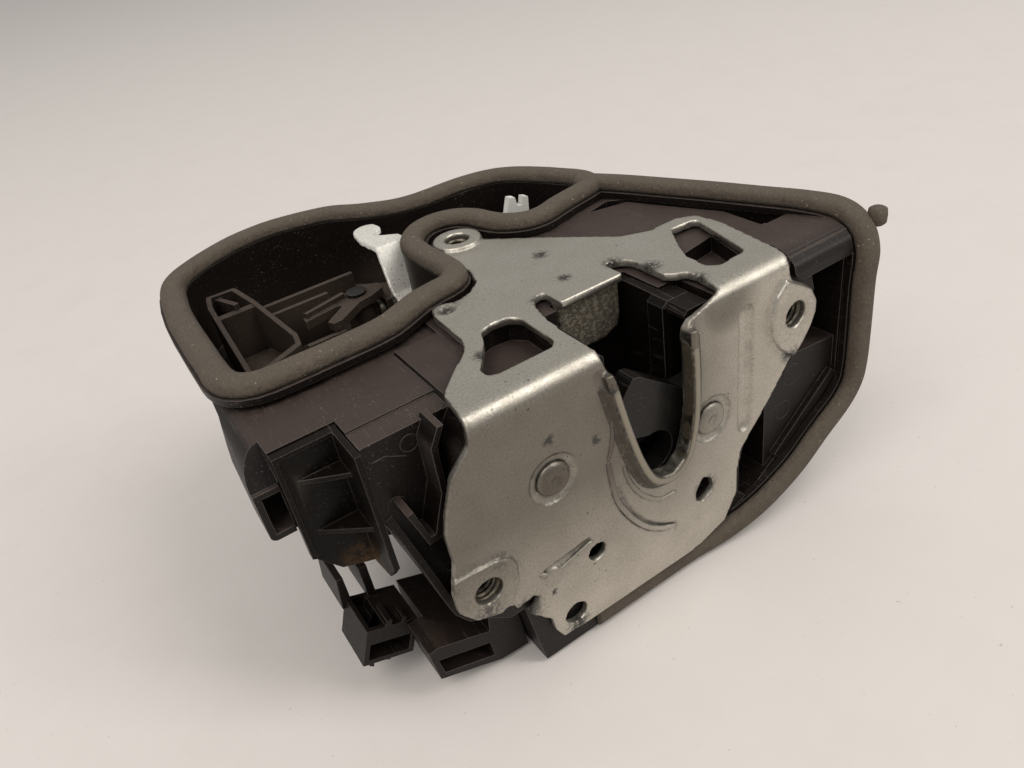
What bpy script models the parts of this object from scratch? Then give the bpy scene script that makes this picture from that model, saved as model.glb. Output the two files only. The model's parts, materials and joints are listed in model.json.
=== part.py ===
"""Side-door lock of a car, built at real size in metres.

Frame: X runs along the bend of the steel latch plate, Z is the outward normal of the plate's flange (up),
and the plate's end face looks along -Y. The origin is the virtual corner where flange and end face meet.
All the numbers below are millimetres.
"""
import math

import bmesh
import bpy
import numpy as np

MM = 0.001

# driving sizes of the latch plate
PLATE_T = 2.0
BEND_R = 4.0
PAD_RISE = 1.2
RECESS_DEEP = 0.8
COLLAR_RISE = 2.0
COLLAR_WIDE = 2.2
SCREW_HOLE_R = 3.3
FIT = 0.3

# driving sizes of the mechanism
FORK_X, FORK_Z = 15.0, -32.2
PAWL_X, PAWL_Z = -28.9, -23.5
FORK_R = 27.0
HUB_R = 10.0
LEVER_Y0, LEVER_Y1 = 3.6, 8.6
RIVET_SHOULDER_R = 4.6
RIVET_HEAD_R = 4.2
RIVET_SHANK_R = 3.1
BACK_Y0 = 12.4
BACK_T = 2.0

# driving sizes of the seal
SEAL_HALF = 3.25
SEAL_HIGH = 3.2
RIM_HALF = 3.9
RIM_T = 1.6

# driving sizes of the housing
WALL = 2.3
DECK_Z = -2.35
TRAY_FLOOR = -21.5
TABLE_Z = -78.0
CHAMBER_BACK = 34.5
BODY_BACK = 78.0
COVER_T = 2.0
LEFT_DECK_Z = -3.2
DECK_LEFT = -75.9
DUCT_WIDE = 5.6
STEP_Y = 18.2
BAND_Y = 11.9
STRIP_Y = 6.0
RIM_WALL = 1.5

# driving sizes of the corner bracket
BRACKET_Y = 23.1
BRACKET_T = 1.4
FIN_X = -62.2
FIN_FRONT = 10.0

DUCT_LEFT = DECK_LEFT - DUCT_WIDE
BEND_ARC = math.pi / 2 * (BEND_R - PLATE_T / 2)
FLAT_K = BEND_R - BEND_ARC / 2


def material(name, rgb, metal, rough):
    mat = bpy.data.materials.new(name)
    mat.use_nodes = True
    shader = mat.node_tree.nodes["Principled BSDF"]
    shader.inputs["Base Color"].default_value = (rgb[0], rgb[1], rgb[2], 1.0)
    shader.inputs["Metallic"].default_value = metal
    shader.inputs["Roughness"].default_value = rough
    mat.diffuse_color = (rgb[0], rgb[1], rgb[2], 1.0)
    return mat


def make(name, verts, faces):
    """One object from points in millimetres, with its normals turned outward."""
    mesh = bpy.data.meshes.new(name)
    mesh.from_pydata([tuple(float(c) * MM for c in v) for v in verts], [], faces)
    bm = bmesh.new()
    bm.from_mesh(mesh)
    bmesh.ops.recalc_face_normals(bm, faces=bm.faces)
    bm.to_mesh(mesh)
    bm.free()
    obj = bpy.data.objects.new(name, mesh)
    bpy.context.collection.objects.link(obj)
    return obj


def place(axis, u, v, w):
    """World point of outline coordinates (u, v) at the station w along the axis."""
    if axis == "Z":
        return (u, v, w)
    if axis == "Y":
        return (u, w, v)
    return (w, u, v)


def prism(name, outline, lo, hi, axis="Z"):
    """Straight extrusion of one closed outline."""
    n = len(outline)
    verts = [place(axis, p[0], p[1], lo) for p in outline]
    verts += [place(axis, p[0], p[1], hi) for p in outline]
    faces = [list(range(n)), list(range(n, 2 * n))]
    faces += [[i, (i + 1) % n, n + (i + 1) % n, n + i] for i in range(n)]
    return make(name, verts, faces)


def box(name, x, y, z):
    return prism(name, [(x[0], y[0]), (x[1], y[0]), (x[1], y[1]), (x[0], y[1])], z[0], z[1])


def ring(cx, cy, r, n=28, a0=0.0, a1=360.0):
    """Points on a circle, or on an arc of it when the two angles are less than a turn apart."""
    full = abs(a1 - a0) >= 360.0
    count = n if full else n + 1
    ang = [math.radians(a0 + (a1 - a0) * i / n) for i in range(count)]
    return [(cx + r * math.cos(a), cy + r * math.sin(a)) for a in ang]


def turned(name, profile, centre, axis="Y", n=28):
    """Solid of revolution: profile of (radius, station) pairs from one end on the axis to the other."""
    inner = [p for p in profile if p[0] > 0]
    verts = []
    for r, w in inner:
        for i in range(n):
            a = 2 * math.pi * i / n
            verts.append(place(axis, centre[0] + r * math.cos(a), centre[1] + r * math.sin(a), w))
    faces = []
    for k in range(len(inner) - 1):
        for i in range(n):
            j = (i + 1) % n
            faces.append([k * n + i, k * n + j, (k + 1) * n + j, (k + 1) * n + i])
    verts.append(place(axis, centre[0], centre[1], profile[0][1]))
    verts.append(place(axis, centre[0], centre[1], profile[-1][1]))
    first, last = len(verts) - 2, len(verts) - 1
    top = (len(inner) - 1) * n
    for i in range(n):
        j = (i + 1) % n
        faces.append([first, i, j])
        faces.append([last, top + i, top + j])
    return make(name, verts, faces)


def offset(outline, d):
    """Outline moved outward by d (inward when d is negative), with mitred corners."""
    p = np.array(outline, float)
    nxt = np.roll(p, -1, axis=0)
    area = np.sum(p[:, 0] * nxt[:, 1] - nxt[:, 0] * p[:, 1])
    e = nxt - p
    e /= np.linalg.norm(e, axis=1)[:, None]
    nrm = np.stack([e[:, 1], -e[:, 0]], axis=1) * (1 if area > 0 else -1)
    prev = np.roll(nrm, 1, axis=0)
    s = nrm + prev
    k = np.clip(np.sum(s * s, axis=1), 1.2, 4.0) / 2
    return [tuple(q) for q in p + s / k[:, None] * d]


def smooth(points, steps, closed=True):
    """Curve through the given points, each span divided into the given number of steps."""
    p = np.array(points, float)
    n = len(p)
    out = []
    spans = n if closed else n - 1
    for i in range(spans):
        a = p[(i - 1) % n] if closed or i > 0 else p[i]
        b, c = p[i], p[(i + 1) % n]
        d = p[(i + 2) % n] if closed or i + 2 < n else c
        for k in range(steps):
            t = k / steps
            q = 0.5 * (2 * b + (c - a) * t + (2 * a - 5 * b + 4 * c - d) * t * t
                       + (3 * b - a - 3 * c + d) * t ** 3)
            out.append(tuple(q))
    if not closed:
        out.append(tuple(p[-1]))
    return out


def sweep(name, path, ups, section, closed):
    """Section of (side, up) pairs carried along a path; ups holds the up direction at each path point."""
    p = np.array(path, float)
    up = np.array(ups, float)
    if closed:
        tan = np.roll(p, -1, axis=0) - np.roll(p, 1, axis=0)
    else:
        tan = np.gradient(p, axis=0)
    tan /= np.linalg.norm(tan, axis=1)[:, None]
    side = np.cross(tan, up)
    side /= np.linalg.norm(side, axis=1)[:, None]
    up = np.cross(side, tan)
    m, n = len(section), len(p)
    verts = []
    for i in range(n):
        for a, b in section:
            verts.append(tuple(p[i] + side[i] * a + up[i] * b))
    faces = []
    for i in range(n if closed else n - 1):
        j = (i + 1) % n
        for k in range(m):
            q = (k + 1) % m
            faces.append([i * m + k, i * m + q, j * m + q, j * m + k])
    if not closed:
        faces.append(list(range(m)))
        faces.append([(n - 1) * m + k for k in range(m)])
    return make(name, verts, faces)


def boolean(target, tool, how):
    mod = target.modifiers.new("b", "BOOLEAN")
    mod.operation = how
    mod.object = tool
    mod.solver = "EXACT"
    bpy.context.view_layer.update()
    graph = bpy.context.evaluated_depsgraph_get()
    mesh = bpy.data.meshes.new_from_object(target.evaluated_get(graph))
    target.modifiers.clear()
    old = target.data
    target.data = mesh
    bpy.data.meshes.remove(old)
    bpy.data.objects.remove(tool, do_unlink=True)
    return target


def join(target, *tools):
    for tool in tools:
        boolean(target, tool, "UNION")
    return target


def cut(target, *tools):
    for tool in tools:
        boolean(target, tool, "DIFFERENCE")
    return target


def common(target, tool):
    return boolean(target, tool, "INTERSECT")


def finish(obj, mat, angle=35.0):
    """Clean the mesh, shade it smooth up to the given edge angle and give it its material."""
    bm = bmesh.new()
    bm.from_mesh(obj.data)
    bmesh.ops.remove_doubles(bm, verts=bm.verts, dist=1e-7)
    bmesh.ops.dissolve_degenerate(bm, edges=bm.edges, dist=1e-7)
    for face in bm.faces:
        face.smooth = True
    limit = math.radians(angle)
    for edge in bm.edges:
        if len(edge.link_faces) == 2:
            edge.smooth = edge.calc_face_angle(0.0) < limit
    bm.to_mesh(obj.data)
    bm.free()
    obj.data.name = obj.name
    obj.data.materials.clear()
    obj.data.materials.append(mat)
    return obj


def set_origin(obj, centre):
    """Move the object's origin onto its joint axis without moving the piece."""
    c = np.array(centre) * MM
    for v in obj.data.vertices:
        v.co = (v.co[0] - c[0], v.co[1] - c[1], v.co[2] - c[2])
    obj.location = tuple(c)


for old in list(bpy.data.objects):
    bpy.data.objects.remove(old, do_unlink=True)

STEEL = material("zinc plated steel", (0.55, 0.53, 0.49), 1.0, 0.42)
BRIGHT = material("bright zinc", (0.72, 0.71, 0.66), 1.0, 0.3)
PLASTIC = material("dark moulded plastic", (0.055, 0.048, 0.049), 0.0, 0.5)
GLOSS = material("glossy black plastic", (0.02, 0.02, 0.021), 0.0, 0.28)
FOAM = material("foam rubber", (0.085, 0.072, 0.058), 0.0, 0.85)
WHITE = material("white plastic", (0.78, 0.78, 0.76), 0.0, 0.4)
COATED = material("plastic coated steel", (0.03, 0.03, 0.032), 0.0, 0.35)
SPRING = material("spring steel", (0.35, 0.34, 0.33), 1.0, 0.35)
BRASS = material("brass", (0.7, 0.52, 0.25), 1.0, 0.35)
RUBBER = material("black rubber", (0.03, 0.028, 0.027), 0.0, 0.7)

# latch plate
FLANGE_LEFT = [(-43.6, 10.8), (-37.9, 16.9), (-34.5, 19.5), (-32.2, 22.3), (-30.8, 25.9), (-30.3, 38.8),
               (-29.1, 42.4), (-26.6, 43.0), (-23.1, 41.4), (-19.1, 42.5), (-15.0, 45.8), (-13.2, 51.8)]
BOSS_X, BOSS_Y, BOSS_R = -6.4, 69.5, 6.8
FLANGE_RIGHT = [(9.5, 54.0), (22.5, 37.9), (29.3, 34.6), (37.9, 34.9), (42.2, 32.3), (43.2, 24.8),
                (41.0, 10.3)]
END_RIGHT = [(39.2, -4.6), (40.6, -7.0), (43.0, -8.3), (46.1, -10.5), (48.1, -14.2), (48.1, -17.6),
             (46.6, -21.0), (33.8, -37.1), (24.9, -46.9), (23.6, -53.0), (23.4, -60.5), (19.3, -67.6),
             (10.4, -70.5), (3.5, -71.0)]
END_LEFT = [(-22.5, -71.0), (-32.8, -70.4), (-34.6, -67.0), (-35.2, -62.4), (-42.8, -53.4), (-43.6, -50.6),
            (-47.3, -49.7), (-53.1, -47.5), (-55.9, -43.6), (-56.0, -38.8), (-54.0, -30.1), (-54.2, -23.0),
            (-53.1, -18.4), (-50.2, -10.6), (-45.4, -5.6)]


def flange(points):
    """Flange outline points carried onto the flat blank."""
    return [(x, y - FLAT_K) for x, y in points]


def end_face(points):
    """End-face outline points (x, z) carried onto the flat blank."""
    return [(x, z + FLAT_K) for x, z in points]


boss_arc = ring(BOSS_X, BOSS_Y, BOSS_R, 14, 205.0, -35.0)
flange_outline = FLANGE_LEFT + boss_arc + FLANGE_RIGHT
blank = flange(flange_outline) + end_face(END_RIGHT + END_LEFT)
plate = prism("latch_plate", blank, -PLATE_T, 0.0)

# pads, pressed out toward the door skin
R_PAD_X, R_PAD_Z = 40.8, -15.3
L_PAD_X, L_PAD_Z = -48.8, -41.2
right_pad = end_face([(37.6, -5.6), (34.6, -8.6), (33.0, -13.0), (33.6, -18.6), (36.4, -23.0), (41.0, -27.0)]
                     + [(44.0, -24.2), (46.4, -20.8), (47.8, -17.5), (47.8, -14.3), (45.9, -10.8), (42.9, -8.7)])
left_pad = end_face([(-55.7, -34.0), (-51.0, -34.0), (-45.0, -34.6), (-42.2, -36.2), (-41.3, -38.6),
                     (-41.6, -43.0), (-43.6, -47.6), (-47.2, -49.4), (-52.9, -47.2), (-55.6, -43.4),
                     (-55.7, -38.8)])
boss_pad = flange(ring(BOSS_X, BOSS_Y, BOSS_R - 0.3, 24))
for k, pad in enumerate((right_pad, left_pad, boss_pad)):
    join(plate, prism("pad", pad, -1.0, PAD_RISE))
    cut(plate, prism("pad_back", offset(pad, -1.3), -PLATE_T - 1, PAD_RISE - PLATE_T))

# rivet recesses, pressed in, and the long stiffening groove
RIVETS = [(FORK_X, FORK_Z), (PAWL_X, PAWL_Z)]
for k, (rx, rz) in enumerate(RIVETS):
    at = (rx, rz + FLAT_K)
    join(plate, prism("recess_back", ring(at[0], at[1], 7.4 - k * 0.1, 28), -PLATE_T - RECESS_DEEP, -1.0))
    cut(plate, prism("recess", ring(at[0], at[1], 6.2, 28), -RECESS_DEEP, 2.0))
GROOVE = (end_face(ring(25.8, -9.0, 2.2, 10, 0.0, 180.0)) + end_face(ring(25.8, -39.6, 2.2, 10, 180.0, 360.0)))
join(plate, prism("groove_back", offset(GROOVE, 1.0), -PLATE_T - 1.1, -1.0))
cut(plate, prism("groove", GROOVE, -1.1, 2.0))

# curved stiffening groove round the fork rivet, joining the lower edge
ARC_R = 29.0
arc_out = ring(FORK_X, FORK_Z + FLAT_K, ARC_R + 1.3, 16, 186.0, 246.0)
arc_in = ring(FORK_X, FORK_Z + FLAT_K, ARC_R - 1.3, 16, 246.0, 186.0)
cut(plate, prism("arc_groove", arc_out + arc_in, -0.5, 2.0))

# small pressed rib with its round button
rib = end_face([(-36.6, -47.8), (-35.0, -46.2), (-22.6, -44.6), (-21.6, -45.4), (-22.4, -46.6), (-34.0, -48.8)])
cut(plate, prism("rib", rib, -0.5, 2.0))
join(plate, prism("button", ring(-33.1, -49.2 + FLAT_K, 2.4, 18), -1.0, 0.45))
join(plate, prism("dimple_ring", ring(-26.9, 39.3 - FLAT_K, 2.8, 20), -1.0, 0.35))
cut(plate, prism("dimple", ring(-26.9, 39.3 - FLAT_K, 2.1, 20), -0.4, 2.0))

# striker slot: collar first, then the opening through flange and end face
SLOT_END = [(-12.3, -7.0), (-9.9, -18.6), (-7.4, -28.4), (-4.9, -35.0), (-2.4, -38.2), (1.6, -39.2), (5.0, -36.6),
            (6.8, -31.4), (7.9, -24.0), (8.0, -14.0), (7.6, -7.0)]
COLLAR = offset(end_face([(-12.3, -7.0)] + SLOT_END[1:-1] + [(7.6, -7.0)]), COLLAR_WIDE)
join(plate, prism("collar", COLLAR, -1.0, COLLAR_RISE))
SLOT_FLANGE = [(19.3, 2.4), (19.9, 9.4), (19.6, 11.8), (17.4, 12.9), (15.6, 14.8), (15.7, 24.6), (15.0, 26.8),
               (12.6, 28.6), (9.9, 28.9), (9.9, 22.2), (-7.3, 22.2), (-7.3, 28.9), (-9.8, 28.7), (-12.0, 25.8),
               (-13.4, 20.0), (-14.0, 14.0), (-14.2, 5.0)]
slot = (end_face(SLOT_END) + end_face([(7.7, -5.2), (9.4, -3.4), (11.8, -2.8)])
        + flange(SLOT_FLANGE) + end_face([(-13.6, -3.0)]))
cut(plate, prism("slot", slot, -6.0, 6.0))

# windows and holes
LEFT_WINDOW = [(-26.1, 25.4), (-23.0, 26.3), (-19.2, 25.9), (-17.3, 23.4), (-17.6, 11.0), (-19.7, 9.0),
               (-31.6, 9.0), (-33.9, 10.0), (-34.2, 12.6), (-30.6, 17.4), (-28.0, 21.2)]
RIGHT_WINDOW = [(32.8, 30.9), (39.4, 30.5), (40.3, 29.4), (35.6, 10.6), (34.2, 9.3), (26.6, 8.8), (24.7, 10.4),
                (24.8, 16.8), (27.5, 22.5)]
cut(plate, prism("window_l", flange(LEFT_WINDOW), -5, 5), prism("window_r", flange(RIGHT_WINDOW), -5, 5))
HEX_HOLE = [(11.9, -48.4), (14.8, -50.2), (15.5, -54.0), (12.0, -56.1), (9.7, -54.9), (9.8, -51.7)]
cut(plate, prism("hex", end_face(HEX_HOLE), -5, 5))
cut(plate, prism("round_hole", ring(-20.7, -50.5 + FLAT_K, 2.4, 20), -5, 5))
cut(plate, prism("low_hole", ring(-28.6, -65.4 + FLAT_K, 3.0, 22), -5, 5))
cut(plate, prism("ear_slot", end_face([(-44.2, -52.6), (-38.4, -51.6), (-37.0, -53.2), (-38.6, -55.4),
                                       (-41.6, -56.2)]), -5, 5))
for hx, hs in ((R_PAD_X, R_PAD_Z + FLAT_K), (L_PAD_X, L_PAD_Z + FLAT_K), (BOSS_X, BOSS_Y - FLAT_K)):
    cut(plate, prism("screw_hole", ring(hx, hs, SCREW_HOLE_R, 28), -6, 6))
for rx, rz in RIVETS:
    cut(plate, prism("rivet_hole", ring(rx, rz + FLAT_K, RIVET_SHANK_R + FIT, 28), -6, 6))


def fold(obj):
    """Bend the flat blank through a right angle about X."""
    half = BEND_ARC / 2
    bm = bmesh.new()
    bm.from_mesh(obj.data)
    for k in range(7):
        s = (-half + BEND_ARC * k / 6) * MM
        geom = bm.verts[:] + bm.edges[:] + bm.faces[:]
        bmesh.ops.bisect_plane(bm, geom=geom, plane_co=(0, s, 0), plane_no=(0, 1, 0), dist=1e-7)
    for v in bm.verts:
        x, s, h = v.co.x / MM, v.co.y / MM, v.co.z / MM
        if s >= half:
            y, z = BEND_R + s - half, h
        elif s <= -half:
            y, z = -h, -BEND_R + s + half
        else:
            a = (half - s) / BEND_ARC * math.pi / 2
            rho = BEND_R + h
            y, z = BEND_R - rho * math.sin(a), -BEND_R + rho * math.cos(a)
        v.co = (x * MM, y * MM, z * MM)
    bmesh.ops.recalc_face_normals(bm, faces=bm.faces)
    bm.to_mesh(obj.data)
    bm.free()


fold(plate)

# tab bent down at the back of the slot
tab_side = [(-7.3, 28.0), (9.9, 28.0)]
TAB_Y = 24.0
prof = [(29.4, 0.0), (TAB_Y + 3.0, 0.0), (TAB_Y + 1.0, -0.5), (TAB_Y + 0.25, -1.5), (TAB_Y, -3.0), (TAB_Y, -15.6),
        (TAB_Y + PLATE_T, -15.6), (TAB_Y + PLATE_T, -3.2), (TAB_Y + 2.4, -2.3), (TAB_Y + 3.0, -PLATE_T),
        (29.4, -PLATE_T)]
tab = prism("tab", prof, -7.3, 9.9, "X")
cut(tab, prism("tab_corner", [(12.0, -17.0), (5.0, -17.0), (5.6, -15.2), (9.0, -14.0), (9.9, -10.5), (12.0, -10.0)],
               15.0, 35.0, "Y"))
fill = box("tab_root", (-7.3, 9.9), (28.2, 30.4), (-PLATE_T, 0.0))
join(plate, tab, fill)
finish(plate, STEEL)

# seal and its rim
LOOP = [(-64.0, 41.3), (-70.2, 41.9), (-74.2, 45.0), (-75.8, 50.0), (-76.0, 57.0), (-76.0, 72.0), (-75.6, 88.0),
        (-73.6, 104.0), (-70.0, 111.5), (-63.5, 116.8), (-56.5, 120.8), (-49.7, 123.3), (-43.0, 124.2),
        (-37.0, 123.8), (-29.5, 121.6), (-22.8, 118.6), (-16.6, 112.6), (-11.0, 108.0), (-6.2, 105.2),
        (-1.0, 103.8), (5.0, 103.6), (11.0, 103.8), (16.2, 103.5), (21.2, 102.2), (25.6, 100.2), (29.3, 96.6),
        (32.0, 92.6), (34.4, 88.2), (37.0, 82.6), (38.9, 78.0), (39.6, 73.6), (38.2, 69.6), (34.0, 67.8),
        (29.0, 66.7), (23.6, 65.4), (18.0, 63.6), (13.6, 63.4), (10.0, 65.2), (7.2, 68.4), (5.4, 73.0),
        (4.0, 78.2), (0.8, 82.4), (-4.0, 84.6), (-9.2, 84.0), (-13.4, 81.0), (-16.2, 76.4), (-17.0, 70.0),
        (-16.9, 63.0), (-16.6, 56.6), (-17.4, 51.6), (-20.6, 48.6), (-25.0, 47.8), (-30.0, 46.6), (-35.0, 44.4),
        (-40.0, 42.2), (-46.0, 41.4), (-55.0, 41.3)]
TAIL = [((37.6, 74.6, 0.0), 0.0), ((41.2, 68.0, 0.0), 0.0), ((44.6, 61.0, 0.0), 0.0), ((49.0, 50.5, 0.0), 0.0),
        ((53.6, 39.5, 0.0), 0.0), ((58.7, 26.2, 0.0), 0.0), ((62.6, 15.6, 0.0), 4.0), ((64.9, 7.6, -0.6), 22.0),
        ((65.6, 2.6, -3.4), 62.0), ((65.4, 0.0, -8.6), 88.0), ((65.2, 0.0, -17.0), 90.0),
        ((65.8, 0.0, -31.5), 90.0), ((65.9, 0.0, -40.0), 90.0), ((65.0, 0.0, -46.2), 90.0),
        ((61.0, 0.0, -51.4), 90.0), ((52.7, 0.0, -57.0), 90.0), ((43.5, 0.0, -63.6), 90.0),
        ((32.2, 0.8, -69.6), 90.0), ((22.0, 2.6, -73.6), 90.0), ((10.4, 4.0, -74.6), 90.0),
        ((-3.2, 4.0, -74.6), 90.0), ((-14.0, 4.0, -74.6), 90.0), ((-21.9, 4.0, -74.5), 90.0)]
loop_fine = smooth(LOOP, 2)
loop_path = [(x, y, 0.0) for x, y in loop_fine]
loop_up = [(0.0, 0.0, 1.0)] * len(loop_path)
tail_path = smooth([p for p, _ in TAIL], 3, closed=False)
tail_turn = [t[0] for t in smooth([(a, 0.0) for _, a in TAIL], 3, closed=False)]
tail_up = [(0.0, -math.sin(math.radians(a)), math.cos(math.radians(a))) for a in tail_turn]
BEAD = [(-SEAL_HALF, 0.0), (-SEAL_HALF, 1.4), (-0.76 * SEAL_HALF, 0.78 * SEAL_HIGH), (-0.36 * SEAL_HALF, SEAL_HIGH),
        (0.36 * SEAL_HALF, SEAL_HIGH), (0.76 * SEAL_HALF, 0.78 * SEAL_HIGH), (SEAL_HALF, 1.4), (SEAL_HALF, 0.0)]
bead_tail = [(a, b - 0.06 if b > 0.5 else b + 0.05) for a, b in BEAD]
seal = sweep("foam_seal", loop_path, loop_up, BEAD, True)
join(seal, sweep("tail", tail_path, tail_up, bead_tail, False))
join(seal, prism("nub", ring(69.7, 0.6, 2.3, 12, 3.0, 363.0), -3.9, 0.4))
finish(seal, FOAM, 50.0)

RIM = [(-RIM_HALF, -FIT - RIM_T), (-RIM_HALF, -FIT), (RIM_HALF, -FIT), (RIM_HALF, -FIT - RIM_T)]
RIM_TAIL = [(-RIM_HALF, -FIT - RIM_T - 0.1), (-RIM_HALF, -FIT - 0.02), (RIM_HALF, -FIT - 0.02),
            (RIM_HALF, -FIT - RIM_T - 0.1)]
BED = [(-RIM_HALF - 0.4, -0.2), (-RIM_HALF - 0.4, 9.0), (RIM_HALF + 0.4, 9.0), (RIM_HALF + 0.4, -0.2)]

# housing
tray_out = offset(loop_fine, -0.7)
tray_in = offset(loop_fine, -0.7 - WALL)
housing = prism("housing", tray_out, TRAY_FLOOR - 2.0, -1.0)

DECK = [(-42.5, 2.4), (-43.6, 10.4), (-37.9, 16.6), (-32.2, 22.3), (-31.4, 43.0), (-28.0, 47.0), (-19.0, 49.6),
        (-15.0, 54.0), (-15.2, 74.0), (-6.0, 83.0), (2.4, 76.0), (6.4, 68.0), (12.4, 62.0), (38.0, 70.6),
        (44.0, 63.6), (50.0, 50.0), (58.0, 30.0), (65.0, 12.0), (64.6, 2.6)]
deck = prism("deck", DECK, -24.2, DECK_Z)
# lower deck left of the plate, with a shallow step, between the seal and the corner bracket
LEFT_DECK = [(DECK_LEFT, BRACKET_Y + FIT), (FIN_X + FIT, BRACKET_Y + FIT), (FIN_X + FIT, BAND_Y), (-44.2, BAND_Y),
             (-38.0, 18.0), (-31.0, 27.8), (-30.6, 46.0), (DECK_LEFT, 46.0)]
left_deck = prism("left_deck", LEFT_DECK, -20.0, LEFT_DECK_Z)
cut(left_deck, prism("step", [(-62.4, BAND_Y - 1.0), (-40.0, BAND_Y - 1.0), (-40.0, STEP_Y), (-62.4, STEP_Y)],
                     LEFT_DECK_Z - 0.4, 0.0))
# wall behind the lower left screw pad, in one plane with the front edge of the lower deck
LEFT_WALL = [(FIN_X + FIT, LEFT_DECK_Z - 0.5), (FIN_X + FIT, -22.0), (-59.7, -29.5), (-58.0, -37.2), (-56.7, -43.7),
             (-55.7, -47.6), (-52.9, -51.4), (-48.0, -53.3), (-44.0, -54.2), (-40.0, -50.0), (-40.0, LEFT_DECK_Z - 0.5)]
left_wall = prism("left_wall", LEFT_WALL, BAND_Y, 30.0, "Y")
join(left_deck, left_wall)
# the body seen from above stays inside the run of the seal
PLAN = [(-80.0, -1.0), (69.4, -1.0), (69.2, 3.4), (66.9, 9.6), (59.1, 29.9), (51.1, 50.2), (45.1, 63.9),
        (40.2, 76.0), (39.6, 90.0), (-80.0, 90.0)]
# raised shoulder beside the plate, rolling over to the end face
SHOULDER = [(19.0, -3.4), (18.0, -1.6), (7.0, -1.0), (3.4, -2.0), (1.2, -4.0), (0.5, -6.4), (0.5, -8.4), (4.0, -8.4),
            (4.0, -12.0), (19.0, -12.0)]
shoulder = prism("shoulder", SHOULDER, 42.0, 64.4, "X")
# mechanism chamber behind the end face
CHAMBER = [(-42.0, -2.6), (-46.0, -8.2), (-48.2, -19.0), (-51.6, -27.0), (-51.2, -31.0), (-50.0, -52.0),
           (-44.0, -56.6), (-40.4, -56.6), (-37.4, -77.5), (20.0, -77.5), (33.0, -73.8), (45.0, -66.8),
           (54.0, -60.2), (62.8, -54.4), (67.2, -48.0), (68.0, -40.0), (67.6, -17.0), (66.4, -3.4), (62.0, -2.6)]
core = prism("chamber", CHAMBER, 2.4, CHAMBER_BACK + 2.0, "Y")
# lower body that holds the drive, and reaches down to the table behind the chamber
BODY = [(-56.5, -20.0), (-56.5, -47.0), (-50.0, -50.0), (-44.0, -56.0), (-38.0, -77.4), (48.0, -77.4),
        (56.0, -60.0), (60.0, -46.0), (60.0, -22.2)]
join(core, prism("body", BODY, CHAMBER_BACK, BODY_BACK, "Y"))
common(core, prism("plan", PLAN, -90.0, 10.0))
tray_skirt = prism("skirt", [(-73.4, 42.0), (-59.0, 42.0), (-59.0, 44.4), (-73.4, 44.4)], -48.0, -20.0)
# duct along the left edge of the deck: rounded flank above, open mouth beside the bracket
DUCT_OUT = [(DECK_LEFT + 0.1, LEFT_DECK_Z)]
DUCT_OUT += [(DECK_LEFT - DUCT_WIDE * math.sin(math.radians(a)), -10.4 + 7.2 * math.cos(math.radians(a)))
             for a in range(15, 91, 15)]
DUCT_OUT += ring(DUCT_LEFT + 1.5, -20.9, 1.5, 4, 180.0, 270.0) + [(DECK_LEFT + 0.1, -22.4)]
duct = prism("duct", DUCT_OUT, 22.4, 56.0, "Y")
cut(duct, prism("duct_front", [(22.0, 0.0), (22.0, -10.4), (23.4, -10.4), (28.6, LEFT_DECK_Z + 0.1), (28.6, 0.0)],
                -90.0, DECK_LEFT - 0.05, "X"),
    box("bracket_bed", (DECK_LEFT - FIT, -60.0), (10.0, BRACKET_Y + FIT), (-60.0, 0.0)),
    prism("duct_taper", [(DUCT_LEFT - 1.5, 20.0), (DUCT_LEFT, 20.0), (DUCT_LEFT + 0.2, 34.0), (DUCT_LEFT + 2.1, 46.0),
                         (DUCT_LEFT + 2.9, 58.0), (DUCT_LEFT - 1.5, 58.0)], -30.0, 0.0))
join(housing, deck, left_deck, shoulder, core, tray_skirt, duct)

# rim wall round the lower left screw pad, with its dark pocket
PAD_RIM = [(-61.4, -22.0), (-60.6, -25.6), (-59.7, -29.5), (-58.0, -37.2), (-56.7, -43.7), (-55.7, -47.6), (-52.9, -51.4),
           (-48.0, -53.3), (-42.0, -54.6)]
pad_rim = prism("pad_rim", PAD_RIM + [(x + RIM_WALL, z + 0.4 * RIM_WALL) for x, z in reversed(PAD_RIM)],
                3.2, BAND_Y + 1.0, "Y")
cut(pad_rim, prism("rim_slope", [(2.0, -50.0), (3.2, -50.0), (11.6, -22.0), (11.6, -20.0), (2.0, -20.0)],
                   -70.0, -40.0, "X"))
# hooked strip standing on the wall beside the plate's left edge
STRIP = [(-46.9, -2.6), (-49.2, -6.9), (-49.4, -17.6), (-53.0, -27.6), (-55.9, -28.0), (-58.6, -18.5)]
STRIP_IN = [(-57.2, -18.2), (-55.3, -26.2), (-54.1, -26.3), (-50.7, -17.4), (-50.5, -6.6), (-48.2, -2.6)]
strip = prism("strip", STRIP + STRIP_IN, STRIP_Y, BAND_Y + 1.0, "Y")
join(housing, pad_rim, strip)
# lower left block with its slanted ledge and recess
BLOCK = [(-62.6, -60.6), (-60.0, -60.4), (-47.4, -65.2), (-46.4, -56.0), (-40.0, -56.0), (-38.4, -77.3),
         (-46.0, -76.8), (-61.6, -70.4)]
RECESS = [(-60.9, -64.2), (-48.0, -68.9), (-47.6, -73.9), (-60.2, -69.2)]
block = prism("block", BLOCK, 9.0, 34.0, "Y")
cut(block, prism("recess", RECESS, 4.0, 17.6, "Y"), box("block_end", (-70.0, -58.6), (19.6, 40.0), (-80.0, -50.0)))
join(housing, block)
# feet under the end of the seal
join(housing, box("foot_a", (-19.0, -14.4), (6.0, 10.0), (TABLE_Z, -76.0)),
     box("foot_b", (-7.6, -3.4), (6.0, 10.0), (TABLE_Z, -76.0)),
     box("foot_c", (-30.0, 40.0), (66.0, 76.0), (TABLE_Z, -76.0)))

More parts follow.
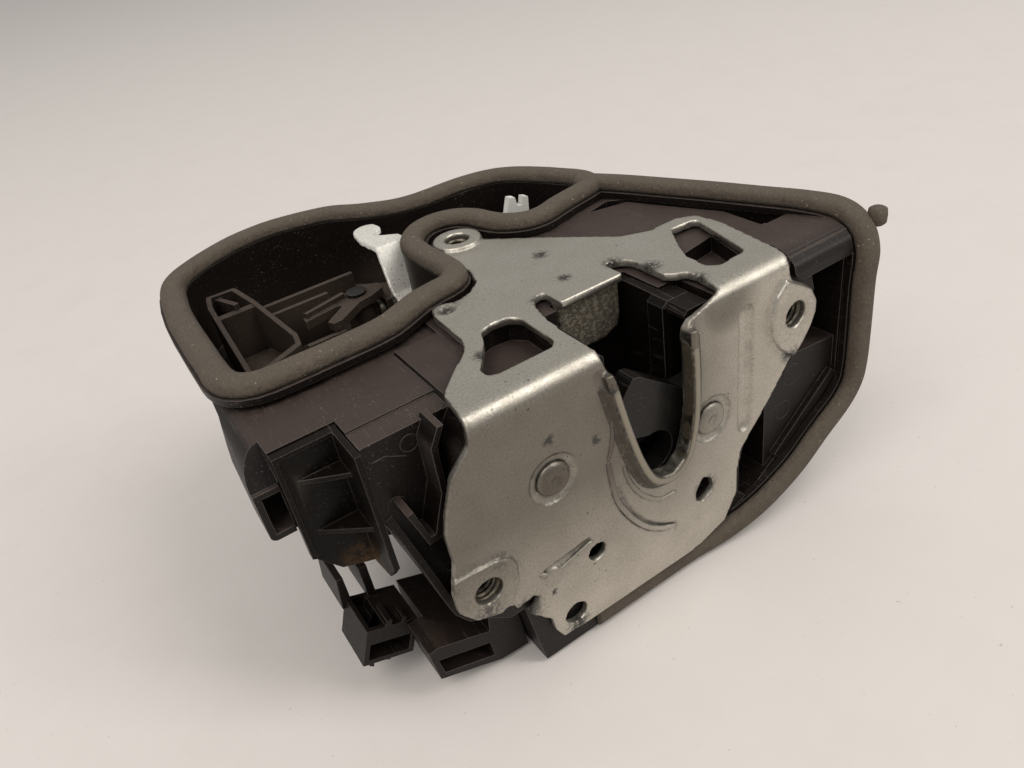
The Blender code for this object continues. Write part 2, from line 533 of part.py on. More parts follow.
# cavities
cut(housing, prism("tray", tray_in, TRAY_FLOOR, 6.0))
CHANNEL = [(38.0, 62.6), (42.0, 59.2), (48.6, 42.5), (55.4, 26.5), (59.0, 17.4), (51.2, 17.4), (51.6, 32.0),
           (46.6, 43.5), (41.0, 57.5), (30.0, 60.4)]
cut(housing, prism("channel", CHANNEL, -14.0, 4.0))
DRIVE = [(-44.0, -27.0), (-46.0, -46.0), (-40.0, -56.0), (-35.6, -75.2), (46.4, -75.2), (53.6, -59.6), (57.4, -46.0),
         (57.4, -27.0)]
rooms = prism("drive_room", DRIVE, CHAMBER_BACK + 3.2, BODY_BACK + 4, "Y")
join(rooms, prism("front_room", [(-31.0, -62.0), (18.0, -62.0), (30.0, -56.0), (56.0, -56.0), (46.0, -62.0),
                                 (33.0, -70.4), (20.0, -74.6), (-31.0, -74.6)], 19.0, 42.0, "Y"),
     prism("side_room", [(30.0, -27.4), (57.0, -27.4), (57.0, -45.8), (53.0, -53.0), (30.0, -53.0)], 20.0, 42.2, "Y"))
common(rooms, prism("plan", offset(PLAN, -2.6), -95.0, 12.0))
cut(housing, rooms)
cut(housing, prism("deck_room", [(-32.0, 38.0), (-32.0, 43.0), (-18.0, 45.4), (-12.0, 54.0), (4.0, 58.0),
                                 (30.0, 56.0), (40.0, 50.0), (46.0, 38.0)], -30.0, -5.0))
cut(housing, box("duct_hole", (DUCT_LEFT + 1.4, DECK_LEFT - 0.3), (20.0, 44.0), (-20.9, -11.7)))
POCKET = [(49.4, -8.6), (61.2, -8.6), (61.8, -43.4), (58.6, -46.6), (40.4, -59.8), (29.6, -67.4), (26.4, -64.0),
          (26.6, -54.4), (28.4, -47.6), (36.0, -38.8), (49.4, -22.4), (50.8, -17.4), (50.8, -13.6)]
cut(housing, prism("pocket", POCKET, -2.0, 17.0, "Y"))
PANEL = [(46.6, -31.0), (62.4, -32.6), (62.4, -43.8), (58.8, -47.2), (37.0, -62.6), (36.7, -42.3)]
panel = prism("panel", PANEL, 3.6, 17.4, "Y")
panel_rib = prism("panel_rib", [(60.0, -41.4), (61.9, -43.4), (41.0, -60.4), (39.4, -58.6)], 2.0, 5.0, "Y")
join(housing, panel, panel_rib)

# rooms of the fork and the pawl, each as wide as the sweep of its lever
def room(cx, cz, reach, hub, a0, a1, n=30):
    """Sector of a circle as wide as the lever's sweep, closed by the hub's own circle."""
    return ring(cx, cz, reach, n, a0, a1) + ring(cx, cz, hub, 12, a1 + 8.0, a0 + 352.0)


FORK_ROOM = room(FORK_X, FORK_Z, FORK_R + 0.6, HUB_R + 1.5, 58.0, 256.0)
PAWL_ROOM = room(PAWL_X, PAWL_Z, 40.4, 10.6, -90.0, -8.0, 14)
cut(housing, prism("fork_room", FORK_ROOM, 0.0, BACK_Y0 - FIT, "Y"),
    prism("pawl_room", PAWL_ROOM, 0.5, BACK_Y0 - FIT + 0.03, "Y"))
BACK_PLATE = [(-28.9, -16.0), (-34.2, -18.2), (-36.4, -23.5), (-34.0, -31.4), (-28.6, -52.0), (-22.0, -57.6),
              (10.0, -57.6), (16.6, -54.0), (20.6, -46.0), (21.8, -32.2), (20.2, -27.4), (15.4, -25.6), (10.6, -27.0),
              (9.3, -30.0), (9.3, -45.8), (-15.0, -46.6), (-18.6, -42.0), (-21.6, -25.0), (-23.4, -18.6)]
cut(housing, prism("plate_room", offset(BACK_PLATE, 0.4), 1.0, BACK_Y0 + BACK_T + FIT, "Y"))
for rx, rz in RIVETS:
    cut(housing, prism("rivet_room", ring(rx, rz, 5.2, 20), 1.4, BACK_Y0 + BACK_T + 2.0, "Y"))

# striker mouth: from the top, between the liner walls, as deep as the slot of the plate
cut(housing, box("mouth", (-13.7, 13.5), (8.95, 23.6), (-44.5, 4.0)),
    box("mouth_front", (-13.4, 19.0), (1.8, 14.6), (-42.4, 4.6)),
    box("mouth_back", (-8.0, 13.48), (22.0, 26.5), (-42.0, 5.0)))
cut(housing, prism("bend_bed", [(0.0, -3.5), (2.35, -3.5), (3.5, -2.3), (3.5, 0.0), (0.0, 0.0)], -50.0, 41.7, "X"))
GROOVE_BED = ring(25.8, -9.0, 3.6, 10, 0.0, 180.0) + ring(25.8, -39.6, 3.6, 10, 180.0, 360.0)
cut(housing, prism("groove_bed", GROOVE_BED, 1.7, 3.5, "Y"),
    prism("pad_bed", [(38.0, -4.4), (41.0, -5.4), (43.2, -7.6), (46.6, -9.6), (49.0, -13.6), (49.0, -18.0), (47.0, -22.0),
                      (38.0, -22.0)], -2.0, 2.35, "Y"))
# shallow pockets seen through the two windows of the flange
cut(housing, prism("under_left", offset(LEFT_WINDOW, 1.2), -6.5, 3.0),
    prism("under_right", [(24.0, 9.0), (35.2, 9.2), (39.4, 24.0), (25.4, 21.6)], -6.4, 3.1))
# bed of the plate's flange and of its end face, then the rim and the seal's own bed
cut(housing, prism("flange_bed", offset(flange_outline + [(41.0, 2.0), (41.0, -1.0), (-43.6, -1.0)], 0.45),
                   -PLATE_T - FIT, 7.0))
rim = sweep("rim", loop_path, loop_up, RIM, True)
join(rim, sweep("rim_tail", tail_path, tail_up, RIM_TAIL, False))
cut(rim, prism("flange_bed2", offset(flange_outline, 0.45), -PLATE_T - FIT - 0.01, 7.2))
cut(rim, prism("tray2", tray_in, TRAY_FLOOR - 0.5, 6.3))
join(housing, rim)
cut(housing, sweep("bed", loop_path, loop_up, BED, True), sweep("bed_tail", tail_path, tail_up, BED, False))

cut(housing, prism("nub_bed", ring(69.7, 0.6, 2.9, 12, 7.0, 367.0), -4.4, 8.0))

# screw boss recesses behind the threaded holes
for hx, hz in ((R_PAD_X, R_PAD_Z), (L_PAD_X, L_PAD_Z)):
    cut(housing, prism("screw_room", ring(hx, hz, 3.9, 20), 1.1, 12.0, "Y"))
cut(housing, prism("screw_room", ring(BOSS_X, BOSS_Y, 3.9, 20), -14.0, 2.1))

# recess under the rim where the hook lever stands, and the walls and posts inside the tray
HOOK_Y, HOOK_Z = 85.8, -17.8
LOCK_X, LOCK_Z = 18.0, -15.8
CABLE_X, CABLE_Y, CABLE_Z = -31.8, 85.6, -12.9
cut(housing, box("hook_recess", (-24.0, -10.8), (81.4, 89.4), (-21.48, -2.4)))
hook_post = box("hook_post", (-25.0, -23.2), (82.6, 89.0), (-22.0, -14.2))
lock_post = box("lock_post", (14.0, 22.0), (74.6, 78.6), (-22.0, -11.6))
cable_post = prism("cable_post", ring(CABLE_X, CABLE_Y, 4.0, 20), -22.0, CABLE_Z - FIT)
join(housing, hook_post, lock_post, cable_post,
     box("ledge_a", (-55.0, -28.4), (95.2, 96.5), (-22.0, -8.6)),
     box("ledge_b", (-54.0, -38.0), (90.6, 91.8), (-22.0, -9.4)),
     box("low_rail", (-51.0, -40.6), (74.2, 75.4), (-22.0, CABLE_Z - 0.5)))
cut(housing, prism("hook_bore", ring(HOOK_Y, HOOK_Z, 1.8, 16), -30.0, -8.2, "X"),
    prism("lock_bore", ring(LOCK_X, LOCK_Z, 1.9, 16), 74.0, 79.5, "Y"),
    prism("cable_bore", ring(CABLE_X, CABLE_Y, 2.1, 16), -19.6, -13.0))

# inside the drive room: motor cradle, boss of the wheel's pin, bosses of the cover screws
MOTOR_Y, MOTOR_Z, MOTOR_R = 58.0, -40.0, 10.0
WHEEL_X, WHEEL_Z, WHEEL_R = -2.0, -56.2, 12.2
SCREWS = [(-41.2, -30.4), (33.2, -30.4), (32.6, -71.4), (-32.8, -71.4)]
cradle = box("cradle", (-34.0, -14.0), (46.0, 70.0), (-36.0, -26.0))
cut(cradle, prism("seat", ring(MOTOR_Y, MOTOR_Z, MOTOR_R + FIT, 28), -40.0, 0.0, "X"))
join(housing, cradle, prism("wheel_boss", ring(WHEEL_X, WHEEL_Z, 4.4, 20), 36.5, 55.1, "Y"))
cut(housing, prism("wheel_bore", ring(WHEEL_X, WHEEL_Z, 2.3, 16), 45.0, 56.0, "Y"))
for k, (sx, sz) in enumerate(SCREWS):
    join(housing, prism("boss", ring(sx, sz, 3.9, 18), 62.0, 77.9, "Y"))
    cut(housing, prism("boss_bore", ring(sx, sz, 1.7, 14), 66.0, 79.0, "Y"))
finish(housing, PLASTIC)

# fork, pawl and what carries them
def polar(cx, cz, r, a):
    return (cx + r * math.cos(math.radians(a)), cz + r * math.sin(math.radians(a)))


TOOTH_A = 225.0
SEAT_A, SEAT_AT, SEAT_R = 193.0, 14.9, 5.4
seat_x, seat_z = polar(FORK_X, FORK_Z, SEAT_AT, SEAT_A)
fork_outline = ring(FORK_X, FORK_Z, HUB_R, 16, -98.0, 104.0)
fork_outline += [polar(FORK_X, FORK_Z, r, a) for r, a in ((11.2, 119.0), (17.0, 127.0), (25.6, 132.6))]
fork_outline += ring(FORK_X, FORK_Z, FORK_R, 8, 134.6, 164.0)
fork_outline += [polar(FORK_X, FORK_Z, r, a) for r, a in ((26.0, 166.8), (22.0, 169.6))]
fork_outline += ring(seat_x, seat_z, SEAT_R, 12, SEAT_A - 90.0, SEAT_A - 270.0)
fork_outline += [polar(FORK_X, FORK_Z, r, a) for r, a in ((19.4, 211.0), (21.2, 212.6), (21.5, 218.0), (21.5, 224.6),
                                                          (25.0, TOOTH_A), (25.2, 229.0), (24.6, 236.0),
                                                          (18.0, 246.0))]
fork = prism("fork", fork_outline, LEVER_Y0, LEVER_Y1, "Y")
cut(fork, prism("bore", ring(FORK_X, FORK_Z, RIVET_SHOULDER_R + FIT, 28), 0.0, 20.0, "Y"))
set_origin(fork, (FORK_X, 0.0, FORK_Z))
finish(fork, COATED)

NOSE_R, NOSE_A = 24.2, 219.5
nose = [polar(FORK_X, FORK_Z, r, a) for r, a in ((NOSE_R + 0.2, NOSE_A - 7.6), (NOSE_R, NOSE_A), (31.0, NOSE_A))]
pawl_outline = nose + [(-13.4, -51.6), (-32.0, -31.2)]
pawl_outline += ring(PAWL_X, PAWL_Z, 8.4, 14, 250.0, 20.0)
pawl_outline += [(-14.4, -31.6), (-6.4, -43.4)]
pawl = prism("pawl", pawl_outline, LEVER_Y0, LEVER_Y1, "Y")
cut(pawl, prism("bore", ring(PAWL_X, PAWL_Z, RIVET_SHOULDER_R + FIT, 28), 0.0, 20.0, "Y"))
set_origin(pawl, (PAWL_X, 0.0, PAWL_Z))
finish(pawl, COATED)

shaft = [(RIVET_SHANK_R, 0.5), (RIVET_SHANK_R, 3.1), (RIVET_SHOULDER_R, 3.1), (RIVET_SHOULDER_R, BACK_Y0 - FIT),
         (3.0, BACK_Y0 - FIT), (3.0, BACK_Y0 + BACK_T + FIT), (4.4, BACK_Y0 + BACK_T + FIT),
         (4.0, BACK_Y0 + BACK_T + 1.1), (0.0, BACK_Y0 + BACK_T + 1.3)]
fork_rivet = turned("fork_rivet", [(0.0, -0.05), (0.9, -0.2), (1.3, -0.6), (2.4, -0.55), (3.6, -0.1),
                                   (RIVET_HEAD_R, 0.5)] + shaft, RIVETS[0])
finish(fork_rivet, STEEL)
pawl_rivet = turned("pawl_rivet", [(0.0, -0.8), (1.8, -0.75), (3.2, -0.4), (3.9, 0.0),
                                   (RIVET_HEAD_R, 0.5)] + shaft, RIVETS[1])
finish(pawl_rivet, STEEL)

pivot_plate = prism("pivot_plate", BACK_PLATE, BACK_Y0, BACK_Y0 + BACK_T, "Y")
for rx, rz in RIVETS:
    cut(pivot_plate, prism("bore", ring(rx, rz, 3.0 + FIT, 24), 0.0, 20.0, "Y"))
finish(pivot_plate, STEEL)


def coil(name, centre, radius, wire, lo, turns, pitch, steps=18):
    """Round wire wound about the Y direction; the ends are cut square."""
    n = int(turns * steps)
    ang = np.arange(n + 1) * 2 * math.pi / steps
    path = np.stack([centre[0] + radius * np.cos(ang), lo + pitch * ang / (2 * math.pi),
                     centre[1] + radius * np.sin(ang)], axis=1)
    section = ring(0.0, 0.0, wire, 7)
    return sweep(name, path, [(0.0, 1.0, 0.0)] * (n + 1), section, False)


finish(coil("fork_spring", RIVETS[0], 6.1, 0.45, 9.45, 2.0, 1.05), SPRING)
finish(coil("pawl_spring", RIVETS[1], 6.1, 0.45, 9.45, 2.0, 1.05), SPRING)

# striker mouth
liner = box("mouth_liner", (-13.4, 13.2), (9.25, 23.3), (-44.2, -2.8))
cut(liner, box("inside", (-11.4, 11.2), (5.0, 30.0), (-42.2, 5.0)),
    box("axle_gap", (8.0, 20.0), (5.0, 16.4), (-50.0, -24.6)))
wall_back = box("wall_back", (11.2, 13.2), (22.0, 26.1), (-41.7, -3.0))
side_block = prism("side_block", [(9.8, -24.2), (18.6, -24.2), (18.6, -4.4), (17.2, -3.0), (11.2, -3.0), (9.8, -4.2)],
                   9.26, 14.2, "Y")
cap = prism("cap", [(10.4, -4.7), (18.58, -4.7), (18.58, -4.4), (17.2, -3.05), (11.6, -3.05), (10.4, -4.0)],
            3.3, 9.6, "Y")
lead = prism("lead", [(-13.1, -12.0), (-11.4, -11.0), (-11.4, -3.6), (-12.2, -2.85), (-13.1, -2.85)], 3.3, 9.6, "Y")
join(liner, wall_back, side_block, cap, lead)
finish(liner, GLOSS)
buffer = prism("striker_buffer", [(-9.0, -41.9), (9.0, -41.9), (9.0, -36.6), (6.2, -38.6), (0.0, -39.4),
                                  (-6.2, -38.6), (-9.0, -36.6)], 12.0, 22.8, "Y")
finish(buffer, RUBBER)

# levers in the tray
STRIP_T = 1.6
face = prism("hook_lever", [(-23.2, -0.6), (-21.8, -15.6), (-12.0, -15.6), (-14.3, -0.6)], 85.0, 85.0 + STRIP_T, "Y")
curl = [(-14.3, 85.0), (-14.4, 88.6), (-17.9, 91.6)] + ring(-17.7, 94.0, 1.7, 6, 240.0, 90.0)
curl += [(-16.4, 96.4), (-15.8, 98.2), (-16.1, 100.2)] + ring(-19.4, 98.8, 4.2, 8, 40.0, 180.0)
curl += [(-24.3, 93.6), (-23.8, 88.6), (-23.2, 85.0)]
hook = prism("hook_flange", curl, -1.4, 0.2)
eye = prism("eye", ring(HOOK_Y, HOOK_Z, 2.9, 18), -21.6, -12.0, "X")
foot = prism("foot", [(85.1, -15.0), (86.5, -15.0), (87.4, -17.0), (84.2, -17.0)], -21.4, -12.2, "X")
join(face, hook, eye, foot)
cut(face, prism("bore", ring(HOOK_Y, HOOK_Z, 1.8, 18), -30.0, 0.0, "X"))
set_origin(face, (-16.8, HOOK_Y, HOOK_Z))
finish(face, BRIGHT)
hook_pin = turned("hook_pin", [(0.0, -26.9), (2.6, -26.9), (2.6, -25.3), (1.5, -25.3), (1.5, -8.6), (0.0, -8.6)],
                  (HOOK_Y, HOOK_Z), "X", 18)
finish(hook_pin, STEEL)

lock_lever = prism("lock_lever", [(15.2, -19.0), (20.6, -19.2), (22.2, -16.4), (22.5, -5.0), (22.9, 0.4), (21.3, 0.9),
                                  (20.7, -1.4), (19.0, -1.1), (18.6, 1.5), (16.8, 1.9), (15.4, -2.2), (12.6, -4.8),
                                  (12.4, -7.4), (14.4, -9.4), (13.9, -16.4)], 78.95, 81.35, "Y")
cut(lock_lever, prism("bore", ring(LOCK_X, LOCK_Z, 1.9, 18), 70.0, 90.0, "Y"))
set_origin(lock_lever, (LOCK_X, 80.15, LOCK_Z))
finish(lock_lever, WHITE)
lock_pin = turned("lock_pin", [(0.0, 75.0), (1.6, 75.0), (1.6, 81.65), (3.0, 81.65), (3.0, 82.7), (0.0, 82.9)],
                  (LOCK_X, LOCK_Z), "Y", 18)
finish(lock_pin, STEEL)

CABLE_ARMS = [(-24.8, 83.6), (-24.6, 87.2), (-29.4, 90.0), (-33.6, 88.8), (-37.0, 86.6), (-48.0, 83.9), (-48.2, 81.6),
              (-38.6, 83.3), (-37.4, 82.2), (-43.8, 76.8), (-43.0, 74.8), (-40.6, 74.9), (-33.0, 80.6), (-29.0, 81.4)]
LEVER_T = 2.4
cable_lever = prism("cable_lever", CABLE_ARMS, CABLE_Z, CABLE_Z + LEVER_T)
join(cable_lever, prism("rib", [(-35.4, 87.0), (-47.4, 83.8), (-47.2, 82.8), (-35.0, 85.8)],
                        CABLE_Z + LEVER_T - 0.2, CABLE_Z + LEVER_T + 1.5))
cut(cable_lever, prism("bore", ring(CABLE_X, CABLE_Y, 2.1, 18), -30.0, 0.0))
set_origin(cable_lever, (CABLE_X, CABLE_Y, CABLE_Z + LEVER_T / 2))
finish(cable_lever, PLASTIC)
cable_pin = turned("cable_pin", [(0.0, -19.2), (1.8, -19.2), (1.8, CABLE_Z + LEVER_T + FIT),
                                 (2.8, CABLE_Z + LEVER_T + FIT), (2.8, CABLE_Z + LEVER_T + 1.0),
                                 (0.0, CABLE_Z + LEVER_T + 1.2)],
                   (CABLE_X, CABLE_Y), "Z", 18)
finish(cable_pin, COATED)

# cable clip: a wedge that narrows and rises toward the back, open from above, with a cross wall
CLIP = [(-67.8, 70.4), (-52.4, 75.4), (-51.8, 79.0), (-56.2, 95.0), (-59.2, 102.6), (-66.6, 103.0), (-67.8, 98.0)]
CLIP_T = 1.3
clip = prism("cable_clip", CLIP, TRAY_FLOOR + FIT, -1.0)
cut(clip, prism("clip_room", offset(CLIP, -CLIP_T), TRAY_FLOOR + FIT + 1.6, 5.0),
    prism("clip_slope", [(60.0, -14.0), (74.0, -13.0), (101.0, -3.2), (110.0, -3.2), (110.0, 5.0), (60.0, 5.0)],
          -80.0, -40.0, "X"))
join(clip, prism("clip_cross", [(93.4, TRAY_FLOOR + FIT + 1.0), (93.4, -6.4), (94.8, -5.9), (94.8, TRAY_FLOOR + FIT + 1.0)],
                 -67.0, -57.0, "X"),
     prism("clip_bar", [(-61.8, 94.0), (-60.4, 94.4), (-63.4, 102.0), (-64.8, 101.6)], TRAY_FLOOR + FIT + 1.0, -4.2))
finish(clip, PLASTIC)

# corner bracket and connector
BRACKET_TOP = LEFT_DECK_Z - FIT
panel_back = [(DECK_LEFT, BRACKET_TOP), (FIN_X, BRACKET_TOP), (FIN_X, -40.0), (-70.8, -36.8), (DECK_LEFT, -30.0)]
bracket = prism("corner_bracket", panel_back, BRACKET_Y - BRACKET_T, BRACKET_Y, "Y")
join(bracket, prism("fin", [(BRACKET_Y, BRACKET_TOP), (FIN_FRONT, BRACKET_TOP), (FIN_FRONT - 0.6, -33.0),
                            (14.0, -38.4), (BRACKET_Y, -41.0)], FIN_X - BRACKET_T, FIN_X, "X"))
# folded border along the top and the left side of the bracket
border = [(DECK_LEFT, BRACKET_TOP), (FIN_X, BRACKET_TOP), (FIN_X, BRACKET_TOP - 1.0), (DECK_LEFT + 1.0, BRACKET_TOP - 1.0),
          (DECK_LEFT + 1.0, -30.4), (DECK_LEFT, -30.0)]
join(bracket, prism("border", border, BRACKET_Y - BRACKET_T - 0.9, BRACKET_Y, "Y"))
for k, (zg, reach, left) in enumerate(((-11.6, 5.4, -73.6), (-25.0, 7.4, -73.2))):
    gusset = [(left, BRACKET_Y - 1.0), (FIN_X - 1.0, BRACKET_Y - 1.0), (FIN_X - 1.0, BRACKET_Y - BRACKET_T - reach)]
    join(bracket, prism("gusset", gusset, zg - 0.6, zg + 0.6))
finish(bracket, GLOSS)

SOCKET_TILT = math.radians(-21.0)
SOCKET_AT = (-71.6, -56.2)


def tilted(points):
    """Connector outline points turned with the connector and moved to its corner."""
    c, s = math.cos(SOCKET_TILT), math.sin(SOCKET_TILT)
    return [(SOCKET_AT[0] + u * c - v * s, SOCKET_AT[1] + u * s + v * c) for u, v in points]


SOCKET_W, SOCKET_H = 12.8, 10.0
shroud = prism("connector_shroud", tilted([(0, 0), (SOCKET_W, 0), (SOCKET_W, -SOCKET_H), (0, -SOCKET_H)]),
               20.0, 33.0, "Y")
cut(shroud, prism("socket", tilted([(1.3, -4.2), (SOCKET_W - 1.2, -4.2), (SOCKET_W - 1.2, -SOCKET_H + 1.2),
                                    (1.3, -SOCKET_H + 1.2)]), 15.0, 31.4, "Y"),
    prism("trough", tilted([(1.2, 2.0), (4.6, 2.0), (4.6, -2.8), (1.2, -2.8)]), 21.3, 31.6, "Y"))
join(shroud, prism("key", tilted([(4.7, -0.6), (6.2, -0.6), (6.2, 1.6), (4.7, 1.6)]), 20.0, 26.0, "Y"),
     prism("key_b", tilted([(8.8, -0.6), (9.9, -0.6), (9.9, 1.2), (8.8, 1.2)]), 20.0, 24.0, "Y"),
     prism("prong_a", tilted([(2.6, -SOCKET_H + 0.5), (3.9, -SOCKET_H + 0.5), (3.9, -13.2), (2.6, -12.6)]),
           22.0, 30.0, "Y"),
     prism("prong_b", tilted([(6.8, -SOCKET_H + 0.5), (8.1, -SOCKET_H + 0.5), (8.1, -12.6), (6.8, -12.2)]),
           22.0, 30.0, "Y"),
     prism("arm", [(-73.2, -57.4), (-70.6, -58.0), (-70.6, -48.4), (-72.2, -48.4)], 31.0, 44.2, "Y"),
     prism("arm_b", [(-66.6, -59.6), (-64.6, -60.4), (-64.6, -48.4), (-66.6, -48.4)], 31.0, 44.2, "Y"))
finish(shroud, PLASTIC)
header = prism("connector_terminals", tilted([(1.7, -4.6), (11.2, -4.6), (11.2, -SOCKET_H + 1.6),
                                              (1.7, -SOCKET_H + 1.6)]), 29.8, 31.1, "Y")
for k in range(4):
    u = 2.6 + 2.3 * k
    join(header, prism("pin", tilted([(u, -6.0), (u + 0.8, -6.0), (u + 0.8, -6.8), (u, -6.8)]), 24.0, 30.0, "Y"))
finish(header, BRASS)

# drive and cover
COVER = [(-56.0, -24.6), (-56.0, -46.8), (-49.8, -49.6), (-43.6, -55.8), (-37.6, -77.1), (38.2, -77.1),
         (38.6, -24.6)]
cover = prism("back_cover", COVER, BODY_BACK + FIT, BODY_BACK + FIT + COVER_T, "Y")
COVER_PANEL = [(-44.0, -37.0), (-44.0, -46.0), (-34.0, -58.0), (-28.0, -66.0), (28.0, -66.0), (28.0, -37.0)]
join(cover, prism("panel", COVER_PANEL, BODY_BACK + 1.0, BODY_BACK + FIT + COVER_T + 1.4, "Y"))
cut(cover, prism("panel_back", offset(COVER_PANEL, -2.0), BODY_BACK, BODY_BACK + FIT + 1.6, "Y"))
for k, (sx, sz) in enumerate(SCREWS):
    cut(cover, prism("hole", ring(sx, sz, 1.8, 16), 70.0, 90.0, "Y"))
finish(cover, PLASTIC)
seat_y = BODY_BACK + 2 * FIT + COVER_T
for k, (sx, sz) in enumerate(SCREWS):
    screw = turned("cover_screw_%d" % (k + 1), [(0.0, 68.0), (0.8, 68.4), (1.4, 69.2), (1.4, seat_y), (2.9, seat_y),
                                                (2.9, seat_y + 0.9), (1.9, seat_y + 1.7), (0.0, seat_y + 1.9)],
                   (sx, sz), "Y", 16)
    finish(screw, STEEL)

motor = turned("motor", [(0.0, -37.2), (3.2, -37.2), (3.2, -36.0), (MOTOR_R - 0.8, -36.0), (MOTOR_R, -35.2),
                         (MOTOR_R, -12.8), (MOTOR_R - 0.8, -12.0), (3.0, -12.0), (3.0, -10.4), (1.0, -10.4),
                         (1.0, 8.6), (0.0, 8.6)], (MOTOR_Y, MOTOR_Z), "X", 26)
finish(motor, STEEL)
WORM_R, WORM_LEN = 2.5, 15.0
worm = turned("worm", [(0.0, -10.1), (WORM_R, -10.1), (WORM_R, -10.1 + WORM_LEN), (0.0, -10.1 + WORM_LEN)],
              (MOTOR_Y, MOTOR_Z), "X", 18)
t = np.linspace(0.0, 1.0, 91)
turns = 5.0
thread_path = np.stack([-9.0 + 12.8 * t, MOTOR_Y + (WORM_R - 0.1) * np.cos(2 * math.pi * turns * t),
                        MOTOR_Z + (WORM_R - 0.1) * np.sin(2 * math.pi * turns * t)], axis=1)
thread_up = np.stack([0 * t, np.cos(2 * math.pi * turns * t), np.sin(2 * math.pi * turns * t)], axis=1)
join(worm, sweep("thread", thread_path, thread_up, [(-0.7, -0.4), (-0.25, 0.9), (0.25, 0.9), (0.7, -0.4)], False))
cut(worm, prism("bore", ring(MOTOR_Y, MOTOR_Z, 1.3, 14), -20.0, 20.0, "X"))
set_origin(worm, (0.0, MOTOR_Y, MOTOR_Z))
finish(worm, BRASS)

TEETH = 30
gear = []
for k in range(TEETH):
    for frac, r in ((0.0, WHEEL_R - 1.3), (0.3, WHEEL_R - 1.3), (0.42, WHEEL_R), (0.72, WHEEL_R)):
        gear.append(polar(WHEEL_X, WHEEL_Z, r, (k + frac) * 360.0 / TEETH))
wheel = prism("worm_wheel", gear, 55.5, 60.5, "Y")
cut(wheel, prism("web", ring(WHEEL_X, WHEEL_Z, 9.6, 24), 58.6, 70.0, "Y"))
join(wheel, prism("hub", ring(WHEEL_X, WHEEL_Z, 3.8, 18), 58.0, 60.52, "Y"),
     prism("crank", ring(WHEEL_X + 6.8, WHEEL_Z, 1.8, 14), 58.0, 64.0, "Y"))
cut(wheel, prism("bore", ring(WHEEL_X, WHEEL_Z, 2.3, 18), 50.0, 70.0, "Y"))
set_origin(wheel, (WHEEL_X, 58.0, WHEEL_Z))
finish(wheel, WHITE)
wheel_pin = turned("wheel_pin", [(0.0, 45.3), (2.0, 45.3), (2.0, 60.85), (3.3, 60.85), (3.3, 61.9), (0.0, 62.1)],
                   (WHEEL_X, WHEEL_Z), "Y", 18)
finish(wheel_pin, STEEL)


def switch(name, cx, cz):
    """Small switch seated on the room's front wall, with its button and sprung tongue."""
    y0 = CHAMBER_BACK + 3.2 + FIT
    obj = box(name, (cx - 7.0, cx + 7.0), (y0, y0 + 6.0), (cz - 4.0, cz + 4.0))
    tongue = prism("tongue", [(cx - 6.4, cz + 3.6), (cx - 5.2, cz + 3.6), (cx - 4.6, cz + 5.2), (cx + 7.0, cz + 7.4),
                              (cx + 6.8, cz + 8.2), (cx - 5.4, cz + 6.0)], y0 + 1.6, y0 + 4.4, "Y")
    button = box("button", (cx - 1.0, cx + 1.0), (y0 + 2.2, y0 + 3.8), (cz + 3.5, cz + 6.2))
    join(obj, tongue, button)
    for dx in (-4.5, 4.5):
        cut(obj, prism("eye", ring(cx + dx, cz, 1.1, 12), 0.0, 90.0, "Y"))
    return finish(obj, GLOSS)


switch("latch_switch", 22.0, -42.0)
switch("lock_switch", -24.0, -63.0)
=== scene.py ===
# %% [markdown]
# # A car door lock on a pale table
# The lock's solids come in as a fixed frame, in metres, with Z up. The looks are built round them: rounded
# skins, the soft seal bead, threads, peened rivets and small moulded marks, and a material for each finish.

# %% Load the fixed frame
import json
import math

import bmesh
import bpy
import numpy as np
from mathutils import Matrix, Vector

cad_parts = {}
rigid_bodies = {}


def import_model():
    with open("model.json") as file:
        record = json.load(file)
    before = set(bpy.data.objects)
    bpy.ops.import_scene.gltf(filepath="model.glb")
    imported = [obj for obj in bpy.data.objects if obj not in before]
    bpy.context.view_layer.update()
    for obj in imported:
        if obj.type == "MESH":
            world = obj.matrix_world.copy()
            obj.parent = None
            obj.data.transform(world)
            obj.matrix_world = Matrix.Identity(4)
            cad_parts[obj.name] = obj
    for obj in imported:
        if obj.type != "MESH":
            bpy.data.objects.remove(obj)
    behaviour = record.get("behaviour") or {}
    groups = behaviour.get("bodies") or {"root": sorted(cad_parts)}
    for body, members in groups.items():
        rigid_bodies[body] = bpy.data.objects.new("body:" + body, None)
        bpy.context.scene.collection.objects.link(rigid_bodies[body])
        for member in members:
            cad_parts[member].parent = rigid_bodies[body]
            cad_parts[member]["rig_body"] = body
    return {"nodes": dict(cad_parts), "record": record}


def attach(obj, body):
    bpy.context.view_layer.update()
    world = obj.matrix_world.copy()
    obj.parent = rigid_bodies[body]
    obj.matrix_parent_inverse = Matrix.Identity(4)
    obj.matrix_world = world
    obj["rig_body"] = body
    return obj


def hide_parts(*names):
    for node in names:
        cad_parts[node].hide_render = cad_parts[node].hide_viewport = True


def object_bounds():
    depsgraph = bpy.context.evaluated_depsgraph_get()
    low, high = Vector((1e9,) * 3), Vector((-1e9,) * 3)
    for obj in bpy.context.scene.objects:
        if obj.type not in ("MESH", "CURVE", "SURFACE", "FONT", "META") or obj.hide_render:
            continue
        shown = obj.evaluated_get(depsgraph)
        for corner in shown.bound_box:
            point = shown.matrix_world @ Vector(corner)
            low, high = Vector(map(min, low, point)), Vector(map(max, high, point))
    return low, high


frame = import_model()
cad_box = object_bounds()
nodes = frame["nodes"]
body_of = {name: obj["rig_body"] for name, obj in nodes.items()}
slot_of = {part["node"]: part["material_slot"] for part in frame["record"]["subparts"]}
MM = 0.001
